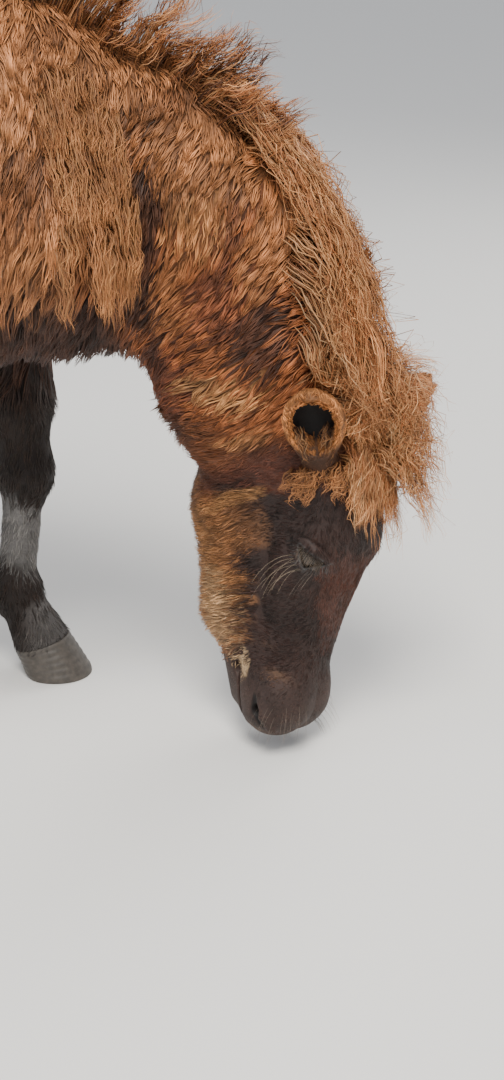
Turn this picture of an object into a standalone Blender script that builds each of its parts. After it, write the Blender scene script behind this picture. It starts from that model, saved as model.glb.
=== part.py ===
"""Young Shetland pony, grazing, as a still life-size model: +X to its head, +Y to its left, +Z up.

The body is one smooth field made of named masses. It is turned into a mesh a node at a time,
parted from its neighbours by planes, and finished with the mane, forelock, tail and long coat.
"""

import math
import random

import bmesh
import bpy
import numpy as np
import openvdb
from mathutils import Matrix, Vector

# Driving sizes in metres, in a working frame whose X = 0 is the line of the withers.

BARREL = 0.195            # half width of the belly, coat included
HEAD = 0.372              # poll to upper lip
GAP = 0.0003              # between nodes that touch
ORIGIN = Vector((-0.1924, 0.0049, 0.0))

# The head hangs almost straight down, turned to the pony's right, its lips leaning that way too.
HEAD_YAW = math.radians(-20)
HEAD_PITCH = math.radians(94)
HEAD_LEAN = math.radians(-10)
LIPS = Vector((0.329, -0.002, 0.0145))

COAT_BROWN = (0.150, 0.055, 0.022, 1)
DARK_BROWN = (0.030, 0.012, 0.007, 1)
FLAXEN = (0.330, 0.130, 0.045, 1)
EYE_BROWN = (0.012, 0.006, 0.004, 1)
HORN_GREY = (0.040, 0.033, 0.028, 1)


def head_axes():
    """Unit vectors from poll to lips, out of the face, and to the pony's left."""
    turn = Matrix.Rotation(HEAD_YAW, 3, "Z")
    front = turn @ Vector((math.sin(HEAD_PITCH), 0, math.cos(HEAD_PITCH)))
    down = turn @ Vector((math.cos(HEAD_PITCH), 0, -math.sin(HEAD_PITCH)))
    down = Matrix.Rotation(HEAD_LEAN, 3, front) @ down
    return down, front, front.cross(down)


DOWN, FRONT, LEFT = head_axes()
POLL = LIPS - DOWN * HEAD
TO_HEAD = np.array([DOWN, FRONT, LEFT])


def in_head(points):
    """World points as (down the face, out of the face, to the left) from the poll."""
    return (points - np.array(POLL)) @ TO_HEAD.T


def from_head(down, out, left):
    return POLL + DOWN * down + FRONT * out + LEFT * left


# Smooth shapes. Each takes an array of points and returns distances, negative inside.
def merge(a, b, radius):
    """Union of two fields with a fillet of about that radius."""
    h = np.clip(0.5 + 0.5 * (b - a) / radius, 0, 1)
    return b * (1 - h) + a * h - radius * h * (1 - h)


def carve(a, b, radius):
    """Field a with b taken out of it, its rim rounded."""
    return -merge(-a, b, radius)


def egg(points, centre, radii):
    q = points - np.array(centre)
    r = np.array(radii)
    k0 = np.linalg.norm(q / r, axis=1)
    k1 = np.linalg.norm(q / r**2, axis=1)
    return k0 * (k0 - 1) / np.maximum(k1, 1e-9)


def limb(points, start, end, r_start, r_end):
    """A tapered round bar between two points."""
    a = np.array(start)
    ab = np.array(end) - a
    t = np.clip((points - a) @ ab / (ab @ ab), 0, 1)
    return np.linalg.norm(points - a - t[:, None] * ab, axis=1) - r_start - t * (r_end - r_start)


def chain(points, joints, radius):
    """Bars through a list of (point, radius), blended into one."""
    field = None
    for (a, ra), (b, rb) in zip(joints, joints[1:]):
        bar = limb(points, a, b, ra, rb)
        field = bar if field is None else merge(field, bar, radius)
    return field


def along(x, knots, values):
    """A smooth curve through the values at the knots, read at x."""
    k = np.array(knots, float)
    v = np.array(values, float)
    slope = np.gradient(v, k)
    i = np.clip(np.searchsorted(k, x) - 1, 0, len(k) - 2)
    span = k[i + 1] - k[i]
    t = np.clip((x - k[i]) / span, 0, 1)
    return ((2 * t**3 - 3 * t**2 + 1) * v[i] + (t**3 - 2 * t**2 + t) * span * slope[i]
            + (3 * t**2 - 2 * t**3) * v[i + 1] + (t**3 - t**2) * span * slope[i + 1])


def loft(ends, side, up, half_side, top, bottom, power):
    """A superellipse section that varies along a body, its middle between top and bottom."""
    middle = (top + bottom) / 2
    half_up = (top - bottom) / 2
    ring = np.abs(side / half_side)**power + np.abs((up - middle) / half_up)**power
    return np.maximum((ring**(1 / power) - 1) * np.minimum(half_side, half_up), ends)


# Barrel: back line, belly line and half width at stations from the buttocks to the breast.
BARREL_X = (-0.71, -0.65, -0.56, -0.45, -0.31, -0.17, -0.05, 0.05, 0.14, 0.20)
BACK_Z = (0.725, 0.785, 0.835, 0.845, 0.825, 0.815, 0.832, 0.830, 0.770, 0.690)
BELLY_Z = (0.610, 0.570, 0.515, 0.458, 0.416, 0.406, 0.420, 0.446, 0.476, 0.510)
HALF_Y = (0.050, 0.105, 0.148, 0.175, BARREL, 0.192, 0.165, 0.145, 0.125, 0.075)


def barrel(points):
    x, y, z = points.T
    ends = np.maximum(x - BARREL_X[-1], BARREL_X[0] - x)
    return loft(ends, y, z, along(x, BARREL_X, HALF_Y), along(x, BARREL_X, BACK_Z),
                along(x, BARREL_X, BELLY_Z), 2.25)


# Legs: where each fetlock stands. The near foreleg is back and the far hind leg forward.
STANCE = {
    "fore_left": (-0.032, 0.088),
    "fore_right": (-0.150, -0.092),
    "hind_left": (-0.500, 0.095),
    "hind_right": (-0.640, -0.098),
}
KNEE_Z = 0.262
HOCK_Z = 0.335
FETLOCK_Z = 0.105
CORONET_Z = 0.052
HOOF_FORWARD = 0.030      # coronet in front of the fetlock
FORE_CUT_Z = 0.392
# The plane that parts the hind legs from the torso rises towards the tail.
HIND_CUT = (Vector((-0.36, 0, 0.420)), Vector((0.300, 0, 0.954)).normalized())


def pastern(points, leg, foot_x, foot_y):
    """Fetlock joint, its ergot tuft and the sloping pastern, blended onto a leg."""
    joint = egg(points, (foot_x, foot_y, FETLOCK_Z), (0.034, 0.032, 0.033))
    tuft = egg(points, (foot_x - 0.021, foot_y, FETLOCK_Z - 0.010), (0.022, 0.021, 0.028))
    slope = limb(points, (foot_x, foot_y, FETLOCK_Z),
                 (foot_x + HOOF_FORWARD, foot_y, CORONET_Z - 0.012), 0.028, 0.038)
    return merge(merge(merge(leg, joint, 0.018), tuft, 0.012), slope, 0.014)


def foreleg(points, name):
    side = 1 if name.endswith("left") else -1
    foot_x, foot_y = STANCE[name]
    elbow = Vector((-0.030, 0.100 * side, 0.475))
    knee = Vector((foot_x * 0.60 + 0.008, foot_y * 1.02, KNEE_Z))
    upper = elbow.lerp(knee, 0.60)
    leg = merge(limb(points, elbow, upper, 0.064, 0.043), limb(points, upper, knee, 0.042, 0.034), 0.02)
    leg = merge(leg, egg(points, knee, (0.035, 0.034, 0.044)), 0.015)
    leg = merge(leg, limb(points, knee, (foot_x, foot_y, FETLOCK_Z), 0.028, 0.026), 0.02)
    return pastern(points, leg, foot_x, foot_y)


def hindleg(points, name):
    side = 1 if name.endswith("left") else -1
    foot_x, foot_y = STANCE[name]
    swing = foot_x + 0.57
    stifle = Vector((-0.435 + 0.25 * swing, 0.125 * side, 0.520))
    hock = Vector((-0.585 + 0.95 * swing, foot_y * 1.02, HOCK_Z))
    heel = hock + Vector((-0.028, 0, 0.028))
    leg = limb(points, stifle, hock, 0.080, 0.036)
    buttock = Vector((-0.618 + 0.3 * swing, 0.100 * side, 0.515))
    leg = merge(leg, limb(points, buttock, heel, 0.052, 0.020), 0.035)
    gaskin = limb(points, stifle.lerp(hock, 0.30), buttock.lerp(heel, 0.30), 0.052, 0.044)
    leg = merge(leg, gaskin, 0.035)
    leg = merge(leg, egg(points, hock, (0.038, 0.033, 0.046)), 0.02)
    leg = merge(leg, limb(points, hock, (foot_x, foot_y, FETLOCK_Z), 0.031, 0.027), 0.02)
    return pastern(points, leg, foot_x, foot_y)


def shoulders(points):
    """Shoulder blades, upper arms and the two sides of the breast."""
    m = np.stack([points[:, 0], np.abs(points[:, 1]), points[:, 2]], 1)
    blade = limb(m, (0.000, 0.075, 0.755), (0.118, 0.086, 0.600), 0.064, 0.078)
    arm = limb(m, (0.118, 0.086, 0.575), (-0.015, 0.098, 0.490), 0.074, 0.068)
    breast = limb(m, (0.135, 0.045, 0.580), (0.110, 0.050, 0.510), 0.060, 0.050)
    return merge(merge(blade, arm, 0.04), breast, 0.04)


def haunches(points):
    m = np.stack([points[:, 0], np.abs(points[:, 1]), points[:, 2]], 1)
    hip = egg(m, (-0.535, 0.085, 0.690), (0.142, 0.090, 0.142))
    thigh = limb(m, (-0.555, 0.098, 0.630), (-0.450, 0.118, 0.540), 0.090, 0.074)
    seat = limb(m, (-0.635, 0.068, 0.675), (-0.612, 0.088, 0.520), 0.062, 0.058)
    return merge(merge(hip, thigh, 0.05), seat, 0.04)


# Neck: the middle of each section and its half depth. It is deep and thin.
NECK = (
    (Vector((0.040, 0.000, 0.645)), 0.165),
    (Vector((0.165, 0.002, 0.618)), 0.145),
    (Vector((0.242, 0.010, 0.568)), 0.124),
    (Vector((0.280, 0.018, 0.500)), 0.114),
    (Vector((0.294, 0.022, 0.440)), 0.105),
    (Vector((0.302, 0.024, 0.385)), 0.094),
)
NECK_THIN = 0.64          # half width over half depth


def neck(points):
    """The neck's sections, stretched in its own upright plane."""
    field = None
    for (a, ra), (b, rb) in zip(NECK, NECK[1:]):
        across = (b - a).cross(Vector((0, 0, 1))).normalized()
        across = np.array(across)
        offset = (points - np.array(a)) @ across
        squashed = points + offset[:, None] * across * (1 / NECK_THIN - 1)
        bar = limb(squashed, a, b, ra, rb)
        field = bar if field is None else merge(field, bar, 0.03)
    return field


# Head: face line, jaw line and half width at shares of the head's length.
FACE_S = (-0.10, 0.03, 0.17, 0.32, 0.46, 0.60, 0.73, 0.84, 0.93, 1.00)
FACE_OUT = (0.016, 0.046, 0.065, 0.072, 0.063, 0.052, 0.046, 0.043, 0.037, 0.012)
FACE_IN = (-0.050, -0.062, -0.056, -0.045, -0.036, -0.030, -0.028, -0.028, -0.026, -0.010)
FACE_SIDE = (0.050, 0.064, 0.070, 0.068, 0.058, 0.048, 0.043, 0.043, 0.042, 0.024)
EYE = (0.138, 0.034, 0.0475)
EYE_R = 0.0178


def mirrored(points):
    """World points in the head's frame, its left half folded onto both sides."""
    h = in_head(points)
    return np.stack([h[:, 0], h[:, 1], np.abs(h[:, 2])], 1)


def head(points):
    m = mirrored(points)
    s = m[:, 0] / HEAD
    ends = np.maximum(s - 0.98, -0.10 - s) * HEAD
    field = loft(ends, m[:, 2], m[:, 1], along(s, FACE_S, FACE_SIDE), along(s, FACE_S, FACE_OUT),
                 along(s, FACE_S, FACE_IN), 2.4)
    teeth = limb(m, (0.115, -0.036, 0.022), (0.285, -0.028, 0.012), 0.036, 0.025)
    field = merge(field, teeth, 0.02)
    cheek = egg(m, (0.100, -0.072, 0.022), (0.080, 0.070, 0.042))
    jaw = limb(m, (0.130, -0.085, 0.012), (0.245, -0.078, 0.010), 0.052, 0.037)
    chin = limb(m, (0.245, -0.069, 0.008), (0.334, -0.041, 0.008), 0.033, 0.025)
    field = merge(merge(field, cheek, 0.03), merge(jaw, chin, 0.02), 0.032)
    field = merge(field, egg(m, (0.130, 0.034, 0.038), (0.036, 0.028, 0.028)), 0.014)
    field = merge(field, limb(m, (0.150, 0.004, 0.057), (0.215, -0.004, 0.040), 0.010, 0.008), 0.018)
    field = merge(field, egg(m, (0.322, 0.003, 0.018), (0.044, 0.043, 0.036)), 0.02)
    field = merge(field, egg(m, (0.328, 0.015, 0.040), (0.025, 0.018, 0.013)), 0.012)
    return merge(field, egg(m, (0.351, -0.003, 0.014), (0.016, 0.032, 0.029)), 0.015)


DOCK = Vector((-0.738, 0.0, 0.740))
DOCK_OUT = Vector((-0.84, 0.0, -0.54)).normalized()
DOCK_R = 0.030


def body(points):
    """The whole pony but its ears, hooves, eyes and long hair."""
    field = merge(barrel(points), shoulders(points), 0.045)
    field = merge(field, haunches(points), 0.05)
    field = merge(field, limb(points, (-0.650, 0, 0.778), DOCK, 0.036, DOCK_R), 0.03)
    field = merge(field, neck(points), 0.05)
    for name in STANCE:
        leg = foreleg if name.startswith("fore") else hindleg
        field = merge(field, leg(points, name), 0.03)
    return merge(field, head(points), 0.028)


# Ears: each stands on a flat seat on the head, a round cup that opens forwards and outwards.
EAR_ROOT = (0.025, 0.018, 0.036)
EAR_LENGTH = 0.082
EAR_SEAT_R = 0.032


def surface_point(centre, direction, reach):
    """Where a ray from inside the body leaves it."""
    steps = np.linspace(0, reach, 200)
    line = np.array(centre) + steps[:, None] * np.array(direction)
    outside = np.nonzero(body(line) > 0)[0]
    return Vector(line[outside[0]])


def ear_frame(side):
    """Origin, axis from base to tip, opening direction and width direction of one ear."""
    axis = (DOWN * -0.77 + FRONT * 0.14 + LEFT * 0.61 * side).normalized()
    root = from_head(EAR_ROOT[0], EAR_ROOT[1], EAR_ROOT[2] * side)
    aside = (LEFT * side + FRONT * 0.35).normalized()
    base = surface_point(root, aside, 0.1)
    out = DOWN * 0.52 + FRONT * 0.54 + LEFT * 0.67 * side
    opening = (out - axis * out.dot(axis)).normalized()
    return base, axis, opening, axis.cross(opening)


EARS = {1: ear_frame(1), -1: ear_frame(-1)}


def ear(points, side):
    base, axis, opening, width = EARS[side]
    e = (points - np.array(base)) @ np.array([axis, width, opening]).T
    field = egg(e, (0.046, 0, 0), (0.046, 0.034, 0.024))
    field = merge(field, limb(e, (-0.020, 0, 0), (0.030, 0, 0), 0.021, 0.022), 0.015)
    field = merge(field, limb(e, (0.055, 0, -0.002), (EAR_LENGTH, 0, 0.002), 0.020, 0.005), 0.02)
    return carve(field, egg(e, (0.052, 0, 0.021), (0.036, 0.0260, 0.031)), 0.005)


# Long hair: each lock is (root, heading, length, half width), grown from the node it sinks into.
LOCK_THICK = 0.0045       # half thickness at the root
LOCK_OFF = 0.0085         # centre line to the body it lies over
COAT_OFF = 0.0020         # the same for the coat's own clumps
ROOT_DEPTH = 0.012
TAIL_CORE = (
    (DOCK, 0.028),
    (Vector((-0.776, 0.000, 0.700)), 0.030),
    (Vector((-0.798, 0.004, 0.600)), 0.040),
    (Vector((-0.802, 0.008, 0.450)), 0.042),
    (Vector((-0.796, 0.012, 0.260)), 0.022),
)


def ears(points):
    return np.minimum(ear(points, 1), ear(points, -1))


def obstacles(points):
    """What hair must lie over: the body, and both ears with room for a lock's width."""
    return np.minimum(body(points), ears(points) - 0.009)


def slope(points, field):
    """Unit gradient of a field."""
    step = 0.003
    sides = [field(points + step * axis) - field(points - step * axis) for axis in np.eye(3)]
    gradient = np.stack(sides, 1)
    return gradient / np.maximum(np.linalg.norm(gradient, axis=1, keepdims=True), 1e-9)


def unit(vectors):
    return vectors / np.maximum(np.linalg.norm(vectors, axis=-1, keepdims=True), 1e-9)


def drape(locks, field, fall, wave, steps, off):
    """Centre lines and normals of locks that start along a heading, sink, and keep off a field."""
    points = np.array([lock[0] for lock in locks], float)
    heading = unit(np.array([lock[1] for lock in locks], float))
    stride = np.array([lock[2] for lock in locks])[:, None] / steps
    phase = np.arange(len(locks)) * 2.4
    normal = slope(points, field)
    lines = [points - normal * ROOT_DEPTH]
    normals = [normal]
    for i in range(steps):
        heading = unit(heading + np.array((0, 0, -fall)))
        normal = slope(points, field)
        inward = np.minimum(np.sum(heading * normal, axis=1, keepdims=True), 0)
        near = (field(points) < off + LOCK_OFF)[:, None]
        heading = unit(heading - inward * normal * near)
        sway = np.cross(heading, normal) * (wave * np.sin(phase + 1.9 * i))[:, None]
        points = points + (heading + sway) * stride
        for _ in range(2):
            lack = off - field(points)
            points = points + slope(points, field) * np.maximum(lack, 0)[:, None]
        lines.append(points)
        normals.append(normal)
    return np.stack(lines, 1), np.stack(normals, 1)


def lock_mesh(line, normals, half_width):
    """A flat four-sided tube along a line, widest past its root and tapered to a point."""
    bm = bmesh.new()
    count = len(line)
    tangent = unit(np.gradient(line, axis=0))
    across = unit(np.cross(tangent, normals))
    above = np.cross(across, tangent)
    rings = []
    for i in range(count - 1):
        t = i / (count - 1)
        wide = half_width * (0.75 + 1.6 * t - 2.05 * t * t)
        thick = LOCK_THICK * (1 - 0.55 * t)
        corners = ((-wide, -thick), (wide, -thick), (wide * 0.72, thick), (-wide * 0.72, thick))
        rings.append([bm.verts.new(line[i] + across[i] * x + above[i] * y) for x, y in corners])
    tip = bm.verts.new(line[-1])
    bm.faces.new(rings[0])
    for lower, upper in zip(rings, rings[1:]):
        for i in range(4):
            j = (i + 1) % 4
            bm.faces.new((lower[i], upper[i], upper[j], lower[j]))
    for i in range(4):
        bm.faces.new((rings[-1][i], tip, rings[-1][(i + 1) % 4]))
    bmesh.ops.triangulate(bm, faces=bm.faces)
    return tool("lock", bm)


def grow(thing, locks, field, fall, wave, steps=5, keep_off=(), off=LOCK_OFF):
    """Fuse locks into their node, leaving out any that would come near those of another node."""
    lines, normals = drape(locks, field, fall, wave, steps, off)
    others = np.array(keep_off).reshape(-1, 3)
    meshes = []
    placed = []
    for lock, line, turned in zip(locks, lines, normals):
        gaps = np.linalg.norm(line[:, None] - others[None], axis=2)
        if ears(line).min() < lock[3] + 0.002:
            continue
        if gaps.size and gaps.min() < lock[3] + 0.022:
            continue
        meshes.append(lock_mesh(line, turned, lock[3]))
        fine = np.linspace(0, steps, 5 * steps)
        placed += np.stack([np.interp(fine, range(steps + 1), line[:, k]) for k in range(3)], 1).tolist()
    combine(thing, meshes, "UNION", "MANIFOLD")
    return placed


def crest_frame(share):
    """Axis point, upward and leftward directions of the neck at a share of its length."""
    place = share * (len(NECK) - 1)
    i = min(int(place), len(NECK) - 2)
    centre = NECK[i][0].lerp(NECK[i + 1][0], place - i)
    axis = (NECK[min(i + 2, len(NECK) - 1)][0] - NECK[max(i - 1, 0)][0]).normalized()
    left = Vector((0, 0, 1)).cross(axis).normalized()
    return centre, axis.cross(left), left, axis


def mane_locks(low, high, count, chance):
    """Locks along the crest: most fall to the left, some lie forward along the crest's right."""
    locks = []
    for i in range(count):
        share = low + (high - low) * (i + chance.uniform(0.2, 0.8)) / count
        centre, up, left, axis = crest_frame(share)
        lean = (0.40, 0.16, 0.02, -0.20)[i % 4] + chance.uniform(-0.05, 0.05)
        root = surface_point(centre, (up + left * lean).normalized(), 0.25)
        if lean > 0.1:
            heading = up * 0.62 + left * 0.95 + axis * 0.35
        else:
            heading = up * 0.70 + left * 0.10 + axis * 0.75
        length = chance.uniform(0.16, 0.20)
        if lean < -0.1:
            length = min(length, 0.04 + 0.42 * (high - share))
        locks.append((root, heading, length, chance.uniform(0.015, 0.019)))
    return locks


def withers_locks(chance):
    """The tuft in front of the withers, which stands up and blows forward."""
    locks = []
    for i in range(13):
        along_back = Vector((-0.06 + 0.018 * i, 0.0, 0.70))
        lean = chance.uniform(-0.16, 0.20)
        root = surface_point(along_back, Vector((0.10, lean, 1)).normalized(), 0.25)
        heading = Vector((0.55, 1.4 * lean + 0.05, 0.8))
        locks.append((root, heading, chance.uniform(0.08, 0.11), 0.018))
    return locks


def poll_locks(chance):
    """The forelock and the hair of the poll, which falls forwards and to the left."""
    locks = []
    for i in range(14):
        left = -0.022 + 0.0048 * i + chance.uniform(-0.002, 0.002)
        start = from_head(0.014 + 0.016 * (i % 3), 0, left)
        root = surface_point(start, (FRONT - DOWN * 0.25).normalized(), 0.12)
        heading = FRONT * 0.30 + DOWN * 0.75 + LEFT * (0.05 + 7.0 * left)
        locks.append((root, heading, chance.uniform(0.07, 0.105), 0.0095))
    return locks


def on_torso(root, length):
    """Whether a lock that hangs from a root stays clear of the torso's neighbours."""
    above_legs = min(root.z - FORE_CUT_Z, (root - HIND_CUT[0]).dot(HIND_CUT[1]))
    over_leg = -0.22 < root.x < 0.08 or root.x < -0.38
    room = length if over_leg else 0.0
    behind_neck = (NECK_CUT[0] - root).dot(NECK_CUT[1])
    return above_legs > room + 0.008 and behind_neck > 0.035


def coat_locks(chance):
    """Clumps of the shaggy coat, in staggered rows from the back to the belly."""
    locks = []
    for row in range(4):
        turn = math.radians(46 + 27 * row)
        for column in range(7):
            for side in (1, -1):
                x = -0.62 + 0.118 * column + 0.06 * (row % 2) + chance.uniform(-0.02, 0.02)
                aim = Vector((0, side * math.sin(turn), math.cos(turn)))
                root = surface_point(Vector((x, 0, 0.63)), aim, 0.30)
                heading = Vector((-0.45, 0.3 * side, -0.9))
                length = chance.uniform(0.095, 0.120) - 0.012 * row
                if on_torso(root, length):
                    locks.append((root, heading, length, 0.028))
    return locks


def tail_locks(chance):
    """Locks that leave the tail's core all round and hang."""
    locks = []
    for i in range(14):
        turn = 2.4 * i
        out = Vector((math.cos(turn), math.sin(turn), 0))
        middle = Vector((-0.795, 0.006, 0.70 - 0.36 * i / 13))
        heading = out * 0.3 - Vector((0, 0, 1))
        locks.append((middle + out * 0.032, heading, chance.uniform(0.17, 0.22), 0.018))
    return locks


def feather_locks(name, chance):
    """The tuft behind a fetlock."""
    foot_x, foot_y = STANCE[name]
    locks = []
    for i in range(3):
        side = (i - 1) * 0.55
        start = Vector((foot_x, foot_y, FETLOCK_Z - 0.004 * i))
        root = surface_point(start, Vector((-1, side, 0)).normalized(), 0.08)
        heading = Vector((-0.35, side * 0.3, -1))
        locks.append((root, heading, chance.uniform(0.048, 0.056), 0.012))
    return locks


def tail_core(points):
    return chain(points, TAIL_CORE, 0.03)


def material(name, colour, roughness):
    shader = bpy.data.materials.new(name)
    shader.use_nodes = True
    shader.diffuse_color = colour
    surface = shader.node_tree.nodes["Principled BSDF"]
    surface.inputs["Base Color"].default_value = colour
    surface.inputs["Roughness"].default_value = roughness
    surface.inputs["Metallic"].default_value = 0.0
    return shader


def add(name, mesh, colour, roughness=0.8):
    thing = bpy.data.objects.new(name, mesh)
    bpy.context.scene.collection.objects.link(thing)
    mesh.materials.clear()
    mesh.materials.append(material(name, colour, roughness))
    return thing


def evaluated(thing):
    """The object's mesh with its modifiers applied, as its new mesh."""
    graph = bpy.context.evaluated_depsgraph_get()
    mesh = bpy.data.meshes.new_from_object(thing.evaluated_get(graph))
    thing.modifiers.clear()
    thing.data = mesh
    return mesh


def outward(bm):
    """Turn the faces out, whatever way they came."""
    bmesh.ops.recalc_face_normals(bm, faces=bm.faces)
    if bm.calc_volume(signed=True) < 0:
        bmesh.ops.reverse_faces(bm, faces=bm.faces)


def polygonise(name, field, low, high, voxel, triangles):
    """Mesh of a field inside a box, reduced to about that many triangles."""
    low = np.array(low)
    counts = np.ceil((np.array(high) - low) / voxel).astype(int) + 1
    axes = [low[i] + voxel * np.arange(counts[i]) for i in range(3)]
    grid = np.stack(np.meshgrid(*axes, indexing="ij"), -1).reshape(-1, 3)
    blocks = np.array_split(grid, len(grid) // 60000 + 1)
    values = np.concatenate([field(block) for block in blocks])
    volume = openvdb.FloatGrid(background=1.0)
    volume.copyFromArray(values.reshape(counts).astype(np.float32))
    points, quads = volume.convertToQuads(isovalue=0.0)
    mesh = bpy.data.meshes.new(name)
    mesh.from_pydata((points * voxel + low).tolist(), [], quads.tolist())
    bm = bmesh.new()
    bm.from_mesh(mesh)
    bmesh.ops.triangulate(bm, faces=bm.faces)
    outward(bm)
    count = len(bm.faces)
    bm.to_mesh(mesh)
    bm.free()
    thing = bpy.data.objects.new(name, mesh)
    bpy.context.scene.collection.objects.link(thing)
    reduce = thing.modifiers.new("Reduce", "DECIMATE")
    reduce.ratio = min(1.0, triangles / count)
    mesh = evaluated(thing)
    bpy.data.objects.remove(thing)
    return mesh


def cut(mesh, point, keep):
    """Keep the side of a plane that its normal points to, half a gap back from it, and close it."""
    bm = bmesh.new()
    bm.from_mesh(mesh)
    geometry = bm.verts[:] + bm.edges[:] + bm.faces[:]
    bmesh.ops.bisect_plane(bm, geom=geometry, plane_co=point + keep * GAP / 2, plane_no=-keep,
                           clear_outer=True)
    rim = [edge for edge in bm.edges if edge.is_boundary]
    bmesh.ops.triangle_fill(bm, use_beauty=True, use_dissolve=False, edges=rim)
    outward(bm)
    bm.to_mesh(mesh)
    bm.free()
    return mesh


def largest_piece(mesh):
    """Drop everything but the largest closed surface."""
    bm = bmesh.new()
    bm.from_mesh(mesh)
    left = set(bm.faces)
    best = []
    while left:
        stack = [left.pop()]
        piece = list(stack)
        while stack:
            for edge in stack.pop().edges:
                for face in edge.link_faces:
                    if face in left:
                        left.remove(face)
                        stack.append(face)
                        piece.append(face)
        if len(piece) > len(best):
            best = piece
    keep = set(best)
    bmesh.ops.delete(bm, geom=[face for face in bm.faces if face not in keep], context="FACES")
    bm.to_mesh(mesh)
    bm.free()


def combine(thing, others, operation, solver="EXACT"):
    """Boolean of an object with a list of closed objects, which are then removed."""
    group = bpy.data.collections.new("tools")
    bpy.context.scene.collection.children.link(group)
    for other in others:
        bpy.context.scene.collection.objects.unlink(other)
        group.objects.link(other)
    boolean = thing.modifiers.new("Join", "BOOLEAN")
    boolean.operand_type = "COLLECTION"
    boolean.collection = group
    boolean.operation = operation
    boolean.solver = solver
    evaluated(thing)
    for other in others:
        bpy.data.objects.remove(other)
    bpy.data.collections.remove(group)
    largest_piece(thing.data)


def tool(name, bm):
    """A closed helper solid for a Boolean."""
    outward(bm)
    mesh = bpy.data.meshes.new(name)
    bm.to_mesh(mesh)
    bm.free()
    thing = bpy.data.objects.new(name, mesh)
    bpy.context.scene.collection.objects.link(thing)
    thing.hide_render = True
    thing.display_type = "WIRE"
    return thing


def ball(centre, axes, radii, rings=10):
    """A closed ellipsoid with its half sizes along three unit vectors."""
    bm = bmesh.new()
    bmesh.ops.create_uvsphere(bm, u_segments=2 * rings, v_segments=rings, radius=1.0)
    frame = Matrix([axes[i] * radii[i] for i in range(3)]).transposed().to_4x4()
    bmesh.ops.transform(bm, matrix=Matrix.Translation(centre) @ frame, verts=bm.verts)
    return bm


def eye_centre(side):
    return from_head(EYE[0], EYE[1], EYE[2] * side)


def eye_axes(side):
    """Along the lids, across them, and out of the socket."""
    out = (LEFT * side + FRONT * 0.42 - DOWN * 0.04).normalized()
    lids = DOWN * 0.62 + FRONT * 0.78
    lids = (lids - out * lids.dot(out)).normalized()
    return lids, out.cross(lids), out


def sockets():
    """The socket behind each eye, and the slit between its lids."""
    tools = []
    for side in (1, -1):
        axes = eye_axes(side)
        centre = eye_centre(side)
        socket = EYE_R + GAP
        tools.append(tool("socket", ball(centre, axes, (socket, socket, socket), 8)))
        slit = centre + axes[2] * EYE_R * 0.95 - axes[1] * 0.002
        tools.append(tool("slit", ball(slit, axes, (0.0165, 0.0042, 0.012), 6)))
    return tools


def nostrils():
    """A tall hollow on each side of the muzzle."""
    tools = []
    for side in (1, -1):
        out = (LEFT * side * 0.78 + FRONT * 0.30 + DOWN * 0.55).normalized()
        tall = FRONT * 0.80 - DOWN * 0.62
        tall = (tall - out * tall.dot(out)).normalized()
        axes = (tall, out.cross(tall), out)
        low = from_head(0.340, 0.008, 0.0430 * side)
        tools.append(tool("nostril", ball(low, axes, (0.0125, 0.0062, 0.016), 6)))
    return tools


def mouth():
    """A groove between the lips, swept round the muzzle from corner to corner."""
    corner = 0.288
    curve = bpy.data.curves.new("mouth", "CURVE")
    curve.dimensions = "3D"
    curve.bevel_depth = 0.0026
    curve.bevel_resolution = 1
    curve.use_fill_caps = True
    turns = 17
    spline = curve.splines.new("POLY")
    spline.points.add(turns - 1)
    for i in range(turns):
        angle = math.radians(-86 + 172 * i / (turns - 1))
        centre = from_head(corner + 0.004, -0.030, 0)
        direction = (LEFT * math.sin(angle) + DOWN * math.cos(angle)
                     + FRONT * 0.10 * math.cos(angle)).normalized()
        point = surface_point(centre, direction, 0.14)
        spline.points[i].co = (*point, 1)
    bent = bpy.data.objects.new("mouth", curve)
    bpy.context.scene.collection.objects.link(bent)
    graph = bpy.context.evaluated_depsgraph_get()
    bm = bmesh.new()
    bm.from_mesh(bpy.data.meshes.new_from_object(bent.evaluated_get(graph)))
    bpy.data.objects.remove(bent)
    bmesh.ops.remove_doubles(bm, verts=bm.verts, dist=0.00005)
    return tool("mouth", bm)


def seat(point, axis, radius):
    """A block that trims a body flat where an ear or the tail stands on it."""
    bm = bmesh.new()
    depth = 0.05
    bmesh.ops.create_cone(bm, cap_ends=True, segments=24, radius1=radius, radius2=radius, depth=depth)
    turn = axis.to_track_quat("Z", "X").to_matrix().to_4x4()
    place = Matrix.Translation(point + axis * depth / 2)
    bmesh.ops.transform(bm, matrix=place @ turn, verts=bm.verts)
    return tool("seat", bm)


HEAD_CUT = (from_head(-0.034, 0, 0), DOWN)
NECK_CUT = (Vector((0.186, 0, 0.60)), Vector((1, 0, -0.12)).normalized())
TAIL_CUT = (DOCK + DOCK_OUT * 0.010, DOCK_OUT)


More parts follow.
